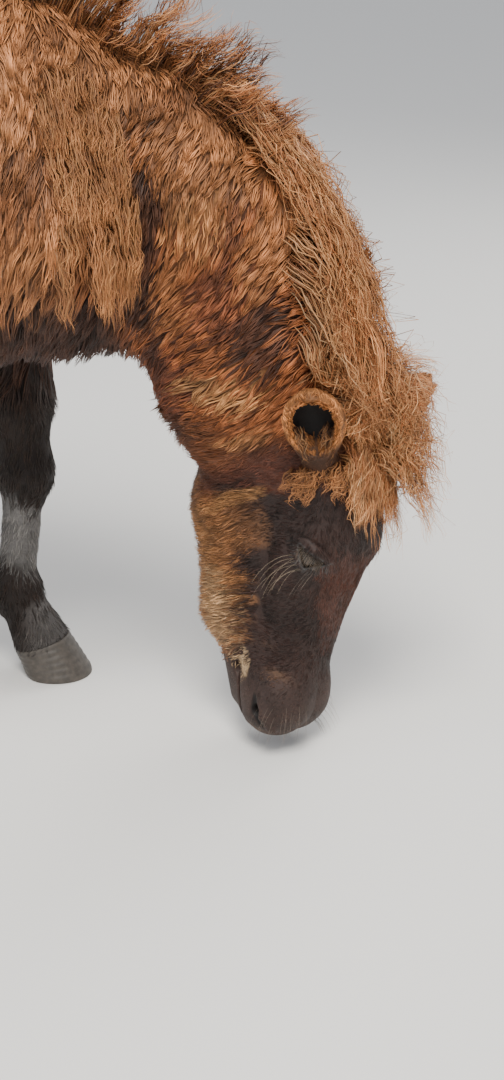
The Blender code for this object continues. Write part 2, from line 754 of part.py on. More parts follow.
def make_head():
    mesh = polygonise("head", body, (0.15, -0.16, -0.01), (0.50, 0.16, 0.44), 0.0036, 2200)
    thing = add("head", cut(mesh, *HEAD_CUT), DARK_BROWN)
    seats = [seat(*EARS[side][:2], EAR_SEAT_R) for side in (1, -1)]
    combine(thing, sockets() + nostrils() + [mouth()] + seats, "DIFFERENCE")
    for side, name in ((1, "left"), (-1, "right")):
        base, axis, opening, width = EARS[side]
        low = base - Vector((0.11, 0.11, 0.11))
        high = base + Vector((0.11, 0.11, 0.11))
        cup = polygonise("ear", lambda p: ear(p, side), low, high, 0.003, 300)
        add("ear_" + name, cut(cup, base + axis * GAP, axis), COAT_BROWN)
        bm = ball(eye_centre(side), eye_axes(side), (EYE_R, EYE_R, EYE_R), 8)
        eye = bpy.data.meshes.new("eye")
        outward(bm)
        bm.to_mesh(eye)
        bm.free()
        add("eye_" + name, eye, EYE_BROWN, 0.15)
    return grow(thing, poll_locks(random.Random(8)), obstacles, 0.30, 0.30, 4)


def make_neck(forelock):
    mesh = polygonise("neck", body, (0.10, -0.20, 0.24), (0.52, 0.22, 0.88), 0.007, 1700)
    cut(mesh, *NECK_CUT)
    cut(mesh, HEAD_CUT[0], -HEAD_CUT[1])
    thing = add("neck", mesh, FLAXEN)
    locks = mane_locks(0.23, 0.90, 35, random.Random(7))
    return grow(thing, locks, obstacles, 0.42, 0.30, 4, forelock)


def make_torso(mane):
    mesh = polygonise("torso", body, (-0.88, -0.26, 0.36), (0.30, 0.26, 0.92), 0.009, 1450)
    cut(mesh, NECK_CUT[0], -NECK_CUT[1])
    cut(mesh, Vector((0, 0, FORE_CUT_Z)), Vector((0, 0, 1)))
    cut(mesh, *HIND_CUT)
    thing = add("torso", mesh, COAT_BROWN)
    combine(thing, [seat(*TAIL_CUT, 0.045)], "DIFFERENCE")
    tufts = withers_locks(random.Random(5))
    grow(thing, tufts, obstacles, 0.10, 0.20, 4, mane)
    grow(thing, coat_locks(random.Random(11)), body, 0.5, 0.15, 3, mane, COAT_OFF)


def make_tail():
    low, high = (-0.88, -0.08, 0.20), (-0.67, 0.10, 0.80)
    mesh = polygonise("tail", tail_core, low, high, 0.006, 400)
    thing = add("tail", cut(mesh, TAIL_CUT[0] + DOCK_OUT * GAP, DOCK_OUT), DARK_BROWN)
    grow(thing, tail_locks(random.Random(2)), tail_core, 0.6, 0.30)


CORONET_SLOPE = Vector((-0.30, 0, 1)).normalized()


def hoof_ring(foot_x, foot_y, share, turn):
    """A point of the hoof wall: share 0 on the ground, 1 at the coronet."""
    toe = 0.050 - 0.014 * share
    heel = 0.034 - 0.002 * share
    half = 0.042 - 0.007 * share
    middle = foot_x + HOOF_FORWARD + 0.016 * (1 - share)
    reach = toe if math.cos(turn) > 0 else heel
    x = middle + reach * math.cos(turn)
    y = foot_y + half * math.sin(turn)
    top = CORONET_Z - (x - middle) * CORONET_SLOPE.x / CORONET_SLOPE.z - 0.014
    return Vector((x, y, top * share))


def make_leg(name):
    foot_x, foot_y = STANCE[name]
    side = 1 if name.endswith("left") else -1
    near, far = sorted((0.006 * side, 0.24 * side))
    fore = name.startswith("fore")
    low = (-0.30 if fore else -0.84, near, -0.02)
    high = (0.16 if fore else -0.33, far, 0.45 if fore else 0.60)
    mesh = polygonise(name, body, low, high, 0.006, 520)
    if fore:
        cut(mesh, Vector((0, 0, FORE_CUT_Z)), Vector((0, 0, -1)))
    else:
        cut(mesh, HIND_CUT[0], -HIND_CUT[1])
    middle = Vector((foot_x + HOOF_FORWARD, foot_y, CORONET_Z - 0.014))
    cut(mesh, middle, CORONET_SLOPE)
    thing = add("leg_" + name, mesh, DARK_BROWN)
    grow(thing, feather_locks(name, random.Random(name)), body, 0.4, 0.2, 3)
    make_hoof(name, foot_x, foot_y)


def make_hoof(name, foot_x, foot_y):
    sides = 20
    levels = (0.0, 0.12, 1.0)
    bm = bmesh.new()
    rings = []
    for share in levels:
        turns = [2 * math.pi * i / sides for i in range(sides)]
        rings.append([bm.verts.new(hoof_ring(foot_x, foot_y, share, t)) for t in turns])
    for lower, upper in zip(rings, rings[1:]):
        for i in range(sides):
            j = (i + 1) % sides
            bm.faces.new((lower[i], lower[j], upper[j], upper[i]))
    bm.faces.new(reversed(rings[0]))
    bm.faces.new(rings[-1])
    outward(bm)
    mesh = bpy.data.meshes.new("hoof")
    bm.to_mesh(mesh)
    bm.free()
    middle = Vector((foot_x + HOOF_FORWARD, foot_y, CORONET_Z - 0.014))
    add("hoof_" + name, cut(mesh, middle, -CORONET_SLOPE), HORN_GREY, 0.5)


def main():
    for thing in list(bpy.data.objects):
        bpy.data.objects.remove(thing)
    forelock = make_head()
    mane = make_neck(forelock)
    make_torso(mane)
    make_tail()
    for name in STANCE:
        make_leg(name)
    for thing in bpy.data.objects:
        thing.data.transform(Matrix.Translation(-ORIGIN))
        thing.data.shade_smooth()
        thing.data.set_sharp_from_angle(angle=math.radians(50))


main()
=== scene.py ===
"""A young Shetland pony, grazing: skin, coat, long hair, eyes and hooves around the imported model.

Everything is made in the working frame of the model's source, whose X = 0 is the line of the
withers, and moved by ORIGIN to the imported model's frame at the end.
"""

import math
import random

import bmesh
import bpy
import numpy as np
import openvdb
from mathutils import Matrix, Vector
from mathutils.kdtree import KDTree


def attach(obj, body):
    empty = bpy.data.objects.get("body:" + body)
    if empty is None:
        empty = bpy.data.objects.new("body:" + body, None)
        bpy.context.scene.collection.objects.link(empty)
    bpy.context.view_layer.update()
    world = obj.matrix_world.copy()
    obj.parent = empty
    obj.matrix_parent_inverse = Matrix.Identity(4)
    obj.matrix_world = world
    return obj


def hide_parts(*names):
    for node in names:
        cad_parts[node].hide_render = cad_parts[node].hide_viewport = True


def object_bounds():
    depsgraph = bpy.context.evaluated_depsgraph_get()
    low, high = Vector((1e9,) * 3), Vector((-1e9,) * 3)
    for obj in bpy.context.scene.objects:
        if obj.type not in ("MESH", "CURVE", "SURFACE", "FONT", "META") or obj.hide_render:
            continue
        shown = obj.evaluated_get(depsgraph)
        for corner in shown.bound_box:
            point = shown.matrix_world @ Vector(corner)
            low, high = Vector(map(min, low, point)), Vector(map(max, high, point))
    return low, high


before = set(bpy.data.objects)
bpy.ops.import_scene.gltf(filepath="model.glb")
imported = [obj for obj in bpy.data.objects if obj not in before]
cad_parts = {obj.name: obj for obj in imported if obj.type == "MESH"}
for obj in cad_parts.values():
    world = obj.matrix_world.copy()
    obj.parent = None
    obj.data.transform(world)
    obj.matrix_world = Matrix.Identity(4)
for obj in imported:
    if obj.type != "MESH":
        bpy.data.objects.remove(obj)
CAD_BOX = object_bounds()

# Driving sizes in metres, in a working frame whose X = 0 is the line of the withers.

BARREL = 0.195            # half width of the belly, coat included
HEAD = 0.372              # poll to upper lip
ORIGIN = Vector((-0.1924, 0.0049, 0.0))

# The head hangs almost straight down, turned to the pony's right, its lips leaning that way too.
HEAD_YAW = math.radians(-20)
HEAD_PITCH = math.radians(94)
HEAD_LEAN = math.radians(-10)
LIPS = Vector((0.329, -0.002, 0.0145))


def head_axes():
    """Unit vectors from poll to lips, out of the face, and to the pony's left."""
    turn = Matrix.Rotation(HEAD_YAW, 3, "Z")
    front = turn @ Vector((math.sin(HEAD_PITCH), 0, math.cos(HEAD_PITCH)))
    down = turn @ Vector((math.cos(HEAD_PITCH), 0, -math.sin(HEAD_PITCH)))
    down = Matrix.Rotation(HEAD_LEAN, 3, front) @ down
    return down, front, front.cross(down)


DOWN, FRONT, LEFT = head_axes()
POLL = LIPS - DOWN * HEAD
TO_HEAD = np.array([DOWN, FRONT, LEFT])


def in_head(points):
    """World points as (down the face, out of the face, to the left) from the poll."""
    return (points - np.array(POLL)) @ TO_HEAD.T


def from_head(down, out, left):
    return POLL + DOWN * down + FRONT * out + LEFT * left


# Smooth shapes. Each takes an array of points and returns distances, negative inside.
def merge(a, b, radius):
    """Union of two fields with a fillet of about that radius."""
    h = np.clip(0.5 + 0.5 * (b - a) / radius, 0, 1)
    return b * (1 - h) + a * h - radius * h * (1 - h)


def carve(a, b, radius):
    """Field a with b taken out of it, its rim rounded."""
    return -merge(-a, b, radius)


def merge_out(a, b, radius):
    """The larger of two fields, with its edge rounded."""
    return -merge(-a, -b, radius)


def egg(points, centre, radii):
    """An ellipsoid."""
    q = points - np.array(centre)
    r = np.array(radii)
    k0 = np.linalg.norm(q / r, axis=1)
    k1 = np.linalg.norm(q / r**2, axis=1)
    return k0 * (k0 - 1) / np.maximum(k1, 1e-9)


def limb(points, start, end, r_start, r_end):
    """A tapered round bar between two points."""
    a = np.array(start)
    ab = np.array(end) - a
    t = np.clip((points - a) @ ab / (ab @ ab), 0, 1)
    return np.linalg.norm(points - a - t[:, None] * ab, axis=1) - r_start - t * (r_end - r_start)


def chain(points, joints, radius):
    """Bars through a list of (point, radius), blended into one."""
    field = None
    for (a, ra), (b, rb) in zip(joints, joints[1:]):
        bar = limb(points, a, b, ra, rb)
        field = bar if field is None else merge(field, bar, radius)
    return field


def along(x, knots, values):
    """A smooth curve through the values at the knots, read at x."""
    k = np.array(knots, float)
    v = np.array(values, float)
    slope = np.gradient(v, k)
    i = np.clip(np.searchsorted(k, x) - 1, 0, len(k) - 2)
    span = k[i + 1] - k[i]
    t = np.clip((x - k[i]) / span, 0, 1)
    return ((2 * t**3 - 3 * t**2 + 1) * v[i] + (t**3 - 2 * t**2 + t) * span * slope[i]
            + (3 * t**2 - 2 * t**3) * v[i + 1] + (t**3 - t**2) * span * slope[i + 1])


def loft(ends, side, up, half_side, top, bottom, power):
    """A superellipse section that varies along a body, its middle between top and bottom."""
    middle = (top + bottom) / 2
    half_up = (top - bottom) / 2
    ring = np.abs(side / half_side)**power + np.abs((up - middle) / half_up)**power
    return np.maximum((ring**(1 / power) - 1) * np.minimum(half_side, half_up), ends)


# Barrel: back line, belly line and half width at stations from the buttocks to the breast.
BARREL_X = (-0.71, -0.65, -0.56, -0.45, -0.31, -0.17, -0.05, 0.05, 0.14, 0.20)
BACK_Z = (0.725, 0.785, 0.835, 0.845, 0.825, 0.815, 0.832, 0.830, 0.770, 0.690)
BELLY_Z = (0.610, 0.570, 0.515, 0.458, 0.416, 0.406, 0.420, 0.446, 0.476, 0.510)
HALF_Y = (0.050, 0.105, 0.148, 0.175, BARREL, 0.192, 0.165, 0.145, 0.125, 0.075)


def barrel(points):
    x, y, z = points.T
    ends = np.maximum(x - BARREL_X[-1], BARREL_X[0] - x)
    return loft(ends, y, z, along(x, BARREL_X, HALF_Y), along(x, BARREL_X, BACK_Z),
                along(x, BARREL_X, BELLY_Z), 2.25)


# Legs: where each fetlock stands. The near foreleg is back and the far hind leg forward.
STANCE = {
    "fore_left": (-0.032, 0.088),
    "fore_right": (-0.150, -0.092),
    "hind_left": (-0.500, 0.095),
    "hind_right": (-0.640, -0.098),
}
KNEE_Z = 0.262
HOCK_Z = 0.335
FETLOCK_Z = 0.105
CORONET_Z = 0.052
HOOF_FORWARD = 0.030      # coronet in front of the fetlock


def pastern(points, leg, foot_x, foot_y):
    """Fetlock joint, its ergot tuft and the sloping pastern, blended onto a leg."""
    joint = egg(points, (foot_x, foot_y, FETLOCK_Z), (0.034, 0.032, 0.033))
    tuft = egg(points, (foot_x - 0.021, foot_y, FETLOCK_Z - 0.010), (0.022, 0.021, 0.028))
    slope = limb(points, (foot_x, foot_y, FETLOCK_Z),
                 (foot_x + HOOF_FORWARD, foot_y, CORONET_Z - 0.012), 0.028, 0.038)
    return merge(merge(merge(leg, joint, 0.018), tuft, 0.012), slope, 0.014)


def foreleg(points, name):
    side = 1 if name.endswith("left") else -1
    foot_x, foot_y = STANCE[name]
    elbow = Vector((-0.030, 0.100 * side, 0.475))
    knee = Vector((foot_x * 0.60 + 0.008, foot_y * 1.02, KNEE_Z))
    upper = elbow.lerp(knee, 0.60)
    leg = merge(limb(points, elbow, upper, 0.064, 0.043), limb(points, upper, knee, 0.042, 0.034), 0.02)
    leg = merge(leg, egg(points, knee, (0.035, 0.034, 0.044)), 0.015)
    leg = merge(leg, limb(points, knee, (foot_x, foot_y, FETLOCK_Z), 0.028, 0.026), 0.02)
    return pastern(points, leg, foot_x, foot_y)


def hindleg(points, name):
    side = 1 if name.endswith("left") else -1
    foot_x, foot_y = STANCE[name]
    swing = foot_x + 0.57
    stifle = Vector((-0.435 + 0.25 * swing, 0.125 * side, 0.520))
    hock = Vector((-0.585 + 0.95 * swing, foot_y * 1.02, HOCK_Z))
    heel = hock + Vector((-0.028, 0, 0.028))
    leg = limb(points, stifle, hock, 0.080, 0.036)
    buttock = Vector((-0.618 + 0.3 * swing, 0.100 * side, 0.515))
    leg = merge(leg, limb(points, buttock, heel, 0.052, 0.020), 0.035)
    gaskin = limb(points, stifle.lerp(hock, 0.30), buttock.lerp(heel, 0.30), 0.052, 0.044)
    leg = merge(leg, gaskin, 0.035)
    leg = merge(leg, egg(points, hock, (0.038, 0.033, 0.046)), 0.02)
    leg = merge(leg, limb(points, hock, (foot_x, foot_y, FETLOCK_Z), 0.031, 0.027), 0.02)
    return pastern(points, leg, foot_x, foot_y)


def folded(points):
    """The right half of the pony folded onto its left."""
    return np.stack([points[:, 0], np.abs(points[:, 1]), points[:, 2]], 1)


def shoulders(points):
    """Shoulder blades, upper arms and the two sides of the breast."""
    m = folded(points)
    blade = limb(m, (0.000, 0.075, 0.755), (0.118, 0.086, 0.600), 0.064, 0.078)
    arm = limb(m, (0.118, 0.086, 0.575), (-0.015, 0.098, 0.490), 0.074, 0.068)
    breast = limb(m, (0.135, 0.045, 0.580), (0.110, 0.050, 0.510), 0.060, 0.050)
    return merge(merge(blade, arm, 0.04), breast, 0.04)


def haunches(points):
    m = folded(points)
    hip = egg(m, (-0.535, 0.085, 0.690), (0.142, 0.090, 0.142))
    thigh = limb(m, (-0.555, 0.098, 0.630), (-0.450, 0.118, 0.540), 0.090, 0.074)
    seat = limb(m, (-0.635, 0.068, 0.675), (-0.612, 0.088, 0.520), 0.062, 0.058)
    return merge(merge(hip, thigh, 0.05), seat, 0.04)


# Neck: the middle of each section and its half depth. It is deep and thin.
NECK = (
    (Vector((0.040, 0.000, 0.645)), 0.165),
    (Vector((0.165, 0.002, 0.618)), 0.145),
    (Vector((0.242, 0.010, 0.568)), 0.124),
    (Vector((0.280, 0.018, 0.500)), 0.114),
    (Vector((0.294, 0.022, 0.440)), 0.105),
    (Vector((0.302, 0.024, 0.385)), 0.094),
)
NECK_THIN = 0.64          # half width over half depth


def neck(points):
    """The neck's sections, stretched in its own upright plane."""
    field = None
    for (a, ra), (b, rb) in zip(NECK, NECK[1:]):
        across = (b - a).cross(Vector((0, 0, 1))).normalized()
        across = np.array(across)
        offset = (points - np.array(a)) @ across
        squashed = points + offset[:, None] * across * (1 / NECK_THIN - 1)
        bar = limb(squashed, a, b, ra, rb)
        field = bar if field is None else merge(field, bar, 0.03)
    return field


# Head: face line, jaw line and half width at shares of the head's length.
FACE_S = (-0.10, 0.03, 0.17, 0.32, 0.46, 0.60, 0.73, 0.84, 0.93, 1.00)
FACE_OUT = (0.016, 0.046, 0.065, 0.072, 0.063, 0.052, 0.046, 0.043, 0.037, 0.012)
FACE_IN = (-0.050, -0.062, -0.056, -0.045, -0.036, -0.030, -0.028, -0.028, -0.026, -0.010)
FACE_SIDE = (0.050, 0.064, 0.070, 0.068, 0.058, 0.048, 0.043, 0.043, 0.042, 0.024)
EYE = (0.138, 0.034, 0.0475)
EYE_R = 0.0178


def mirrored(points):
    """World points in the head's frame, its left half folded onto both sides."""
    h = in_head(points)
    return np.stack([h[:, 0], h[:, 1], np.abs(h[:, 2])], 1)


def head(points):
    m = mirrored(points)
    s = m[:, 0] / HEAD
    ends = np.maximum(s - 0.98, -0.10 - s) * HEAD
    field = loft(ends, m[:, 2], m[:, 1], along(s, FACE_S, FACE_SIDE), along(s, FACE_S, FACE_OUT),
                 along(s, FACE_S, FACE_IN), 2.4)
    teeth = limb(m, (0.115, -0.036, 0.022), (0.285, -0.028, 0.012), 0.036, 0.025)
    field = merge(field, teeth, 0.02)
    cheek = egg(m, (0.100, -0.072, 0.022), (0.080, 0.070, 0.042))
    jaw = limb(m, (0.130, -0.085, 0.012), (0.245, -0.078, 0.010), 0.052, 0.037)
    chin = limb(m, (0.245, -0.069, 0.008), (0.334, -0.041, 0.008), 0.033, 0.025)
    field = merge(merge(field, cheek, 0.03), merge(jaw, chin, 0.02), 0.032)
    field = merge(field, egg(m, (0.130, 0.034, 0.038), (0.036, 0.028, 0.028)), 0.014)
    field = merge(field, limb(m, (0.150, 0.004, 0.057), (0.215, -0.004, 0.040), 0.010, 0.008), 0.018)
    field = merge(field, egg(m, (0.322, 0.003, 0.018), (0.044, 0.043, 0.036)), 0.02)
    field = merge(field, egg(m, (0.328, 0.015, 0.040), (0.025, 0.018, 0.013)), 0.012)
    return merge(field, egg(m, (0.351, -0.003, 0.014), (0.016, 0.032, 0.029)), 0.015)


DOCK = Vector((-0.738, 0.0, 0.740))
DOCK_OUT = Vector((-0.84, 0.0, -0.54)).normalized()
DOCK_R = 0.030


def body(points):
    """The whole pony but its ears, hooves, eyes and long hair."""
    field = merge(barrel(points), shoulders(points), 0.045)
    field = merge(field, haunches(points), 0.05)
    field = merge(field, limb(points, (-0.650, 0, 0.778), DOCK, 0.036, DOCK_R), 0.03)
    field = merge(field, neck(points), 0.05)
    for name in STANCE:
        leg = foreleg if name.startswith("fore") else hindleg
        field = merge(field, leg(points, name), 0.03)
    return merge(field, head(points), 0.028)


# Ears: each is a round cup that opens forwards and outwards.
EAR_ROOT = (0.025, 0.018, 0.036)
EAR_LENGTH = 0.082


def surface_point(centre, direction, reach):
    """Where a ray from inside the body leaves it."""
    steps = np.linspace(0, reach, 200)
    line = np.array(centre) + steps[:, None] * np.array(direction)
    outside = np.nonzero(body(line) > 0)[0]
    return Vector(line[outside[0]])


def ear_frame(side):
    """Origin, axis from base to tip, opening direction and width direction of one ear."""
    axis = (DOWN * -0.77 + FRONT * 0.14 + LEFT * 0.61 * side).normalized()
    root = from_head(EAR_ROOT[0], EAR_ROOT[1], EAR_ROOT[2] * side)
    aside = (LEFT * side + FRONT * 0.35).normalized()
    base = surface_point(root, aside, 0.1)
    out = DOWN * 0.52 + FRONT * 0.54 + LEFT * 0.67 * side
    opening = (out - axis * out.dot(axis)).normalized()
    return base, axis, opening, axis.cross(opening)


EARS = {1: ear_frame(1), -1: ear_frame(-1)}


def ear(points, side):
    base, axis, opening, width = EARS[side]
    e = (points - np.array(base)) @ np.array([axis, width, opening]).T
    field = egg(e, (0.046, 0, 0), (0.046, 0.034, 0.024))
    field = merge(field, limb(e, (-0.020, 0, 0), (0.030, 0, 0), 0.021, 0.022), 0.015)
    field = merge(field, limb(e, (0.055, 0, -0.002), (EAR_LENGTH, 0, 0.002), 0.020, 0.005), 0.02)
    return carve(field, egg(e, (0.052, 0, 0.021), (0.036, 0.0260, 0.031)), 0.005)


def ears(points):
    return np.minimum(ear(points, 1), ear(points, -1))


def obstacles(points):
    """What hair must lie over: the body, and both ears with room for a lock's width."""
    return np.minimum(body(points), ears(points) - 0.009)


def slope(points, field):
    """Unit gradient of a field."""
    step = 0.003
    sides = [field(points + step * axis) - field(points - step * axis) for axis in np.eye(3)]
    gradient = np.stack(sides, 1)
    return gradient / np.maximum(np.linalg.norm(gradient, axis=1, keepdims=True), 1e-9)


def unit(vectors):
    return vectors / np.maximum(np.linalg.norm(vectors, axis=-1, keepdims=True), 1e-9)


def crest_frame(share):
    """Axis point, upward and leftward directions of the neck at a share of its length."""
    place = share * (len(NECK) - 1)
    i = min(int(place), len(NECK) - 2)
    centre = NECK[i][0].lerp(NECK[i + 1][0], place - i)
    axis = (NECK[min(i + 2, len(NECK) - 1)][0] - NECK[max(i - 1, 0)][0]).normalized()
    left = Vector((0, 0, 1)).cross(axis).normalized()
    return centre, axis.cross(left), left, axis


def eye_centre(side):
    return from_head(EYE[0], EYE[1], EYE[2] * side)


def eye_axes(side):
    """Along the lids, up across them, and out of the socket."""
    out = (LEFT * side + FRONT * 0.42 - DOWN * 0.04).normalized()
    lids = DOWN * 0.38 + FRONT * 0.92
    lids = (lids - out * lids.dot(out)).normalized()
    return lids, lids.cross(out) * side, out


CORONET_SLOPE = Vector((-0.30, 0, 1)).normalized()


def hoof_ring(foot_x, foot_y, share, turn):
    """A point of the hoof wall: share 0 on the ground, 1 at the coronet."""
    toe = 0.050 - 0.014 * share
    heel = 0.034 - 0.002 * share
    half = 0.042 - 0.007 * share
    middle = foot_x + HOOF_FORWARD + 0.016 * (1 - share)
    reach = toe if math.cos(turn) > 0 else heel
    x = middle + reach * math.cos(turn)
    y = foot_y + half * math.sin(turn)
    top = CORONET_Z - (x - middle) * CORONET_SLOPE.x / CORONET_SLOPE.z - 0.014
    return Vector((x, y, top * share))


TAIL_CORE = (
    (DOCK, 0.028),
    (Vector((-0.776, 0.000, 0.700)), 0.030),
    (Vector((-0.798, 0.004, 0.600)), 0.040),
    (Vector((-0.802, 0.008, 0.450)), 0.042),
    (Vector((-0.796, 0.012, 0.260)), 0.022),
)


def tail_core(points):
    return chain(points, TAIL_CORE, 0.03)


# Skin: the body's outline less the depth of its coat, with lids, nostrils and lips.
def fade(x):
    """0 below 0, 1 above 1, smooth between."""
    t = np.clip(x, 0, 1)
    return t * t * (3 - 2 * t)


def on_head(points):
    """1 on the head, 0 a hand's breadth up the neck."""
    h = in_head(points)
    return fade((h[:, 0] + 0.02) / 0.08) * fade(1.3 - head(points) / 0.03)


def neck_share(points, width=0.05):
    """1 from the base of the neck forwards, 0 on the torso."""
    return fade((points[:, 0] - 0.186 - 0.12 * (points[:, 2] - 0.60)) / width)


def coat_depth(points):
    """From the coat's outline down to the skin."""
    face = on_head(points)
    low = fade((0.44 - points[:, 2]) / 0.10) * (1 - face)
    return 0.010 * (1 - face) * (1 - low) + 0.0028 * face + 0.0045 * low


def lid_frame(points):
    """World points in the frame of the nearer eye: along the lids, up across them, outwards."""
    side = np.where((points - np.array(POLL)) @ np.array(LEFT) > 0, 1, -1)
    local = np.zeros_like(points)
    for s in (1, -1):
        lids, up, out = eye_axes(s)
        rows = np.array([lids, up, out])
        pick = side == s
        local[pick] = (points[pick] - np.array(eye_centre(s))) @ rows.T
    return local


LID_EDGE = 0.0030         # of the upper lid, above the middle of the eye


def eye_opening(e):
    """The gap between the lids: straight above, coming to a blunt corner below."""
    over = e[:, 1] - LID_EDGE
    back = -0.72 * (e[:, 0] + 0.0175) - 0.69 * over
    front = 0.75 * (e[:, 0] - 0.0200) - 0.66 * over
    gap = -merge(-merge_out(back, front, 0.004), -over, 0.0015)
    return np.maximum(gap, 0.004 - e[:, 2])


def lids(points, field):
    """Both lids over the eyeball, with the gap that they leave and the fold above it."""
    e = lid_frame(points)
    field = merge(field, np.linalg.norm(e, axis=1) - EYE_R - 0.0024, 0.008)
    upper = limb(e, (-0.017, LID_EDGE + 0.0040, 0.0105), (0.001, LID_EDGE + 0.0048, 0.0185), 0.0034, 0.0046)
    upper = merge(upper, limb(e, (0.001, LID_EDGE + 0.0048, 0.0185), (0.019, LID_EDGE + 0.0040, 0.0095),
                              0.0046, 0.0034), 0.004)
    field = merge(field, upper, 0.003)
    field = carve(field, eye_opening(e), 0.0008)
    crease = np.abs(e[:, 1] - LID_EDGE - 0.0130 + 12.0 * e[:, 0]**2) - 0.0008
    crease = np.maximum(crease, np.abs(e[:, 0]) - 0.020)
    crease = np.maximum(crease, 0.006 - e[:, 2])
    crease = np.maximum(crease, np.abs(field) - 0.0022)
    return carve(field, crease, 0.0025)


def nostril(m):
    """The comma-shaped hole, which runs up and inwards."""
    hole = limb(m, (0.3195, -0.0055, 0.0550), (0.337, -0.0010, 0.0550), 0.0036, 0.0074)
    hole = merge(hole, limb(m, (0.337, -0.0010, 0.0550), (0.3540, 0.0100, 0.0500), 0.0074, 0.0044), 0.003)
    return merge(hole, limb(m, (0.337, 0.0005, 0.0520), (0.331, 0.0050, 0.0360), 0.0072, 0.0055), 0.003)


def nose(points, field):
    """Nostrils with a raised rim, and the line between the lips."""
    m = mirrored(points)
    rim = limb(m, (0.318, 0.0045, 0.0500), (0.338, 0.0120, 0.0515), 0.0045, 0.0062)
    rim = merge(rim, limb(m, (0.338, 0.0120, 0.0515), (0.354, 0.0200, 0.0430), 0.0062, 0.0045), 0.005)
    field = merge(field, rim, 0.006)
    field = carve(field, nostril(m), 0.0015)
    line = m[:, 1] + 0.043 - 0.30 * (m[:, 0] - 0.300)
    lip_line = np.maximum(np.abs(line) - 0.0013, 0.300 - m[:, 0])
    lip_line = np.maximum(lip_line, np.abs(field) - 0.0050)
    field = carve(field, lip_line, 0.003)
    return carve(field, egg(m, (0.302, -0.043, 0.036), (0.008, 0.005, 0.006)), 0.004)


def bare(points):
    """1 inside the nostrils and between the lids, where no hair grows."""
    hole = np.minimum(nostril(mirrored(points)), eye_opening(lid_frame(points)) + 0.0006)
    return fade((0.0012 - hole) / 0.0012)


def skin_field(points):
    field = body(points) + coat_depth(points)
    near = in_head(points)
    close = (near[:, 0] > 0.05) & (np.abs(near[:, 1]) < 0.12) & (np.abs(near[:, 2]) < 0.12)
    if close.any():
        there = points[close]
        field[close] = nose(there, lids(there, field[close]))
    return field


def uneven(low, fine_low, fine_high, high, fine, coarse):
    """Grid lines that are close together in the middle stretch only."""
    parts = [np.arange(low, fine_low, coarse), np.arange(fine_low, fine_high, fine),
             np.arange(fine_high, high + coarse, coarse)]
    return np.concatenate(parts)


def linked(name, data):
    """A new object in the scene."""
    thing = bpy.data.objects.new(name, data)
    bpy.context.scene.collection.objects.link(thing)
    return thing


def from_bmesh(name, bm):
    """An object with the mesh that a bmesh holds."""
    mesh = bpy.data.meshes.new(name)
    bm.to_mesh(mesh)
    bm.free()
    return linked(name, mesh)


def bake_map(mesh, corners):
    """The map for the bake, with a place for each corner of each triangle."""
    layer = mesh.uv_layers.new(name="OFBake")
    layer.data.foreach_set("uv", corners.astype(np.float32).ravel())


def polygonise(name, field, axes, triangles):
    """Mesh of a field on an uneven grid, read only in the blocks that its surface may cross."""
    size = 8
    counts = [len(axis) for axis in axes]
    values = np.full(counts, 1.0, np.float32)
    starts = [np.arange(0, n, size) for n in counts]
    corners = np.stack(np.meshgrid(*starts, indexing="ij"), -1).reshape(-1, 3)
    low = np.stack([axes[i][corners[:, i]] for i in range(3)], 1)
    last = [np.minimum(corners[:, i] + size, counts[i] - 1) for i in range(3)]
    high = np.stack([axes[i][last[i]] for i in range(3)], 1)
    reach = np.linalg.norm(high - low, axis=1) / 2
    centre = field((low + high) / 2)
    for corner, value, room in zip(corners, centre, reach):
        window = tuple(slice(corner[i], min(corner[i] + size, counts[i])) for i in range(3))
        if abs(value) > 1.6 * room + 0.004:
            values[window] = np.sign(value)
    near = np.nonzero(np.abs(centre) <= 1.6 * reach + 0.004)[0]
    for batch in np.array_split(near, len(near) // 100 + 1):
        windows = []
        stacks = []
        for i in batch:
            window = tuple(slice(corners[i][k], min(corners[i][k] + size, counts[k])) for k in range(3))
            lines = [axes[k][window[k]] for k in range(3)]
            stacks.append(np.stack(np.meshgrid(*lines, indexing="ij"), -1).reshape(-1, 3))
            windows.append(window)
        read = field(np.concatenate(stacks))
        place = 0
        for window, stack in zip(windows, stacks):
            shape = values[window].shape
            values[window] = read[place:place + len(stack)].reshape(shape)
            place += len(stack)
    grid = openvdb.FloatGrid(background=1.0)
    grid.copyFromArray(values)
    points, quads = grid.convertToQuads(isovalue=0.0)
    world = [np.interp(points[:, k], np.arange(counts[k]), axes[k]) for k in range(3)]
    mesh = bpy.data.meshes.new(name)
    mesh.from_pydata(np.stack(world, 1).tolist(), [], quads.tolist())
    thing = linked(name, mesh)
    if 2 * len(quads) > triangles:
        reduce = thing.modifiers.new("Reduce", "DECIMATE")
        reduce.ratio = triangles / (2 * len(quads))
        graph = bpy.context.evaluated_depsgraph_get()
        mesh = bpy.data.meshes.new_from_object(thing.evaluated_get(graph))
        thing.modifiers.clear()
        thing.data = mesh
    bm = bmesh.new()
    bm.from_mesh(thing.data)
    bmesh.ops.triangulate(bm, faces=bm.faces)
    if bm.calc_volume(signed=True) < 0:
        bmesh.ops.reverse_faces(bm, faces=bm.faces)
    bm.to_mesh(thing.data)
    bm.free()
    thing.data.shade_smooth()
    return thing


def arrays(mesh):
    """Points, triangles and point normals of a triangle mesh."""
    points = np.empty(len(mesh.vertices) * 3, np.float32)
    mesh.vertices.foreach_get("co", points)
    normals = np.empty(len(mesh.vertices) * 3, np.float32)
    mesh.vertex_normals.foreach_get("vector", normals)
    triangles = np.empty(len(mesh.polygons) * 3, np.int32)
    mesh.polygons.foreach_get("vertices", triangles)
    return points.reshape(-1, 3).astype(float), triangles.reshape(-1, 3), normals.reshape(-1, 3).astype(float)


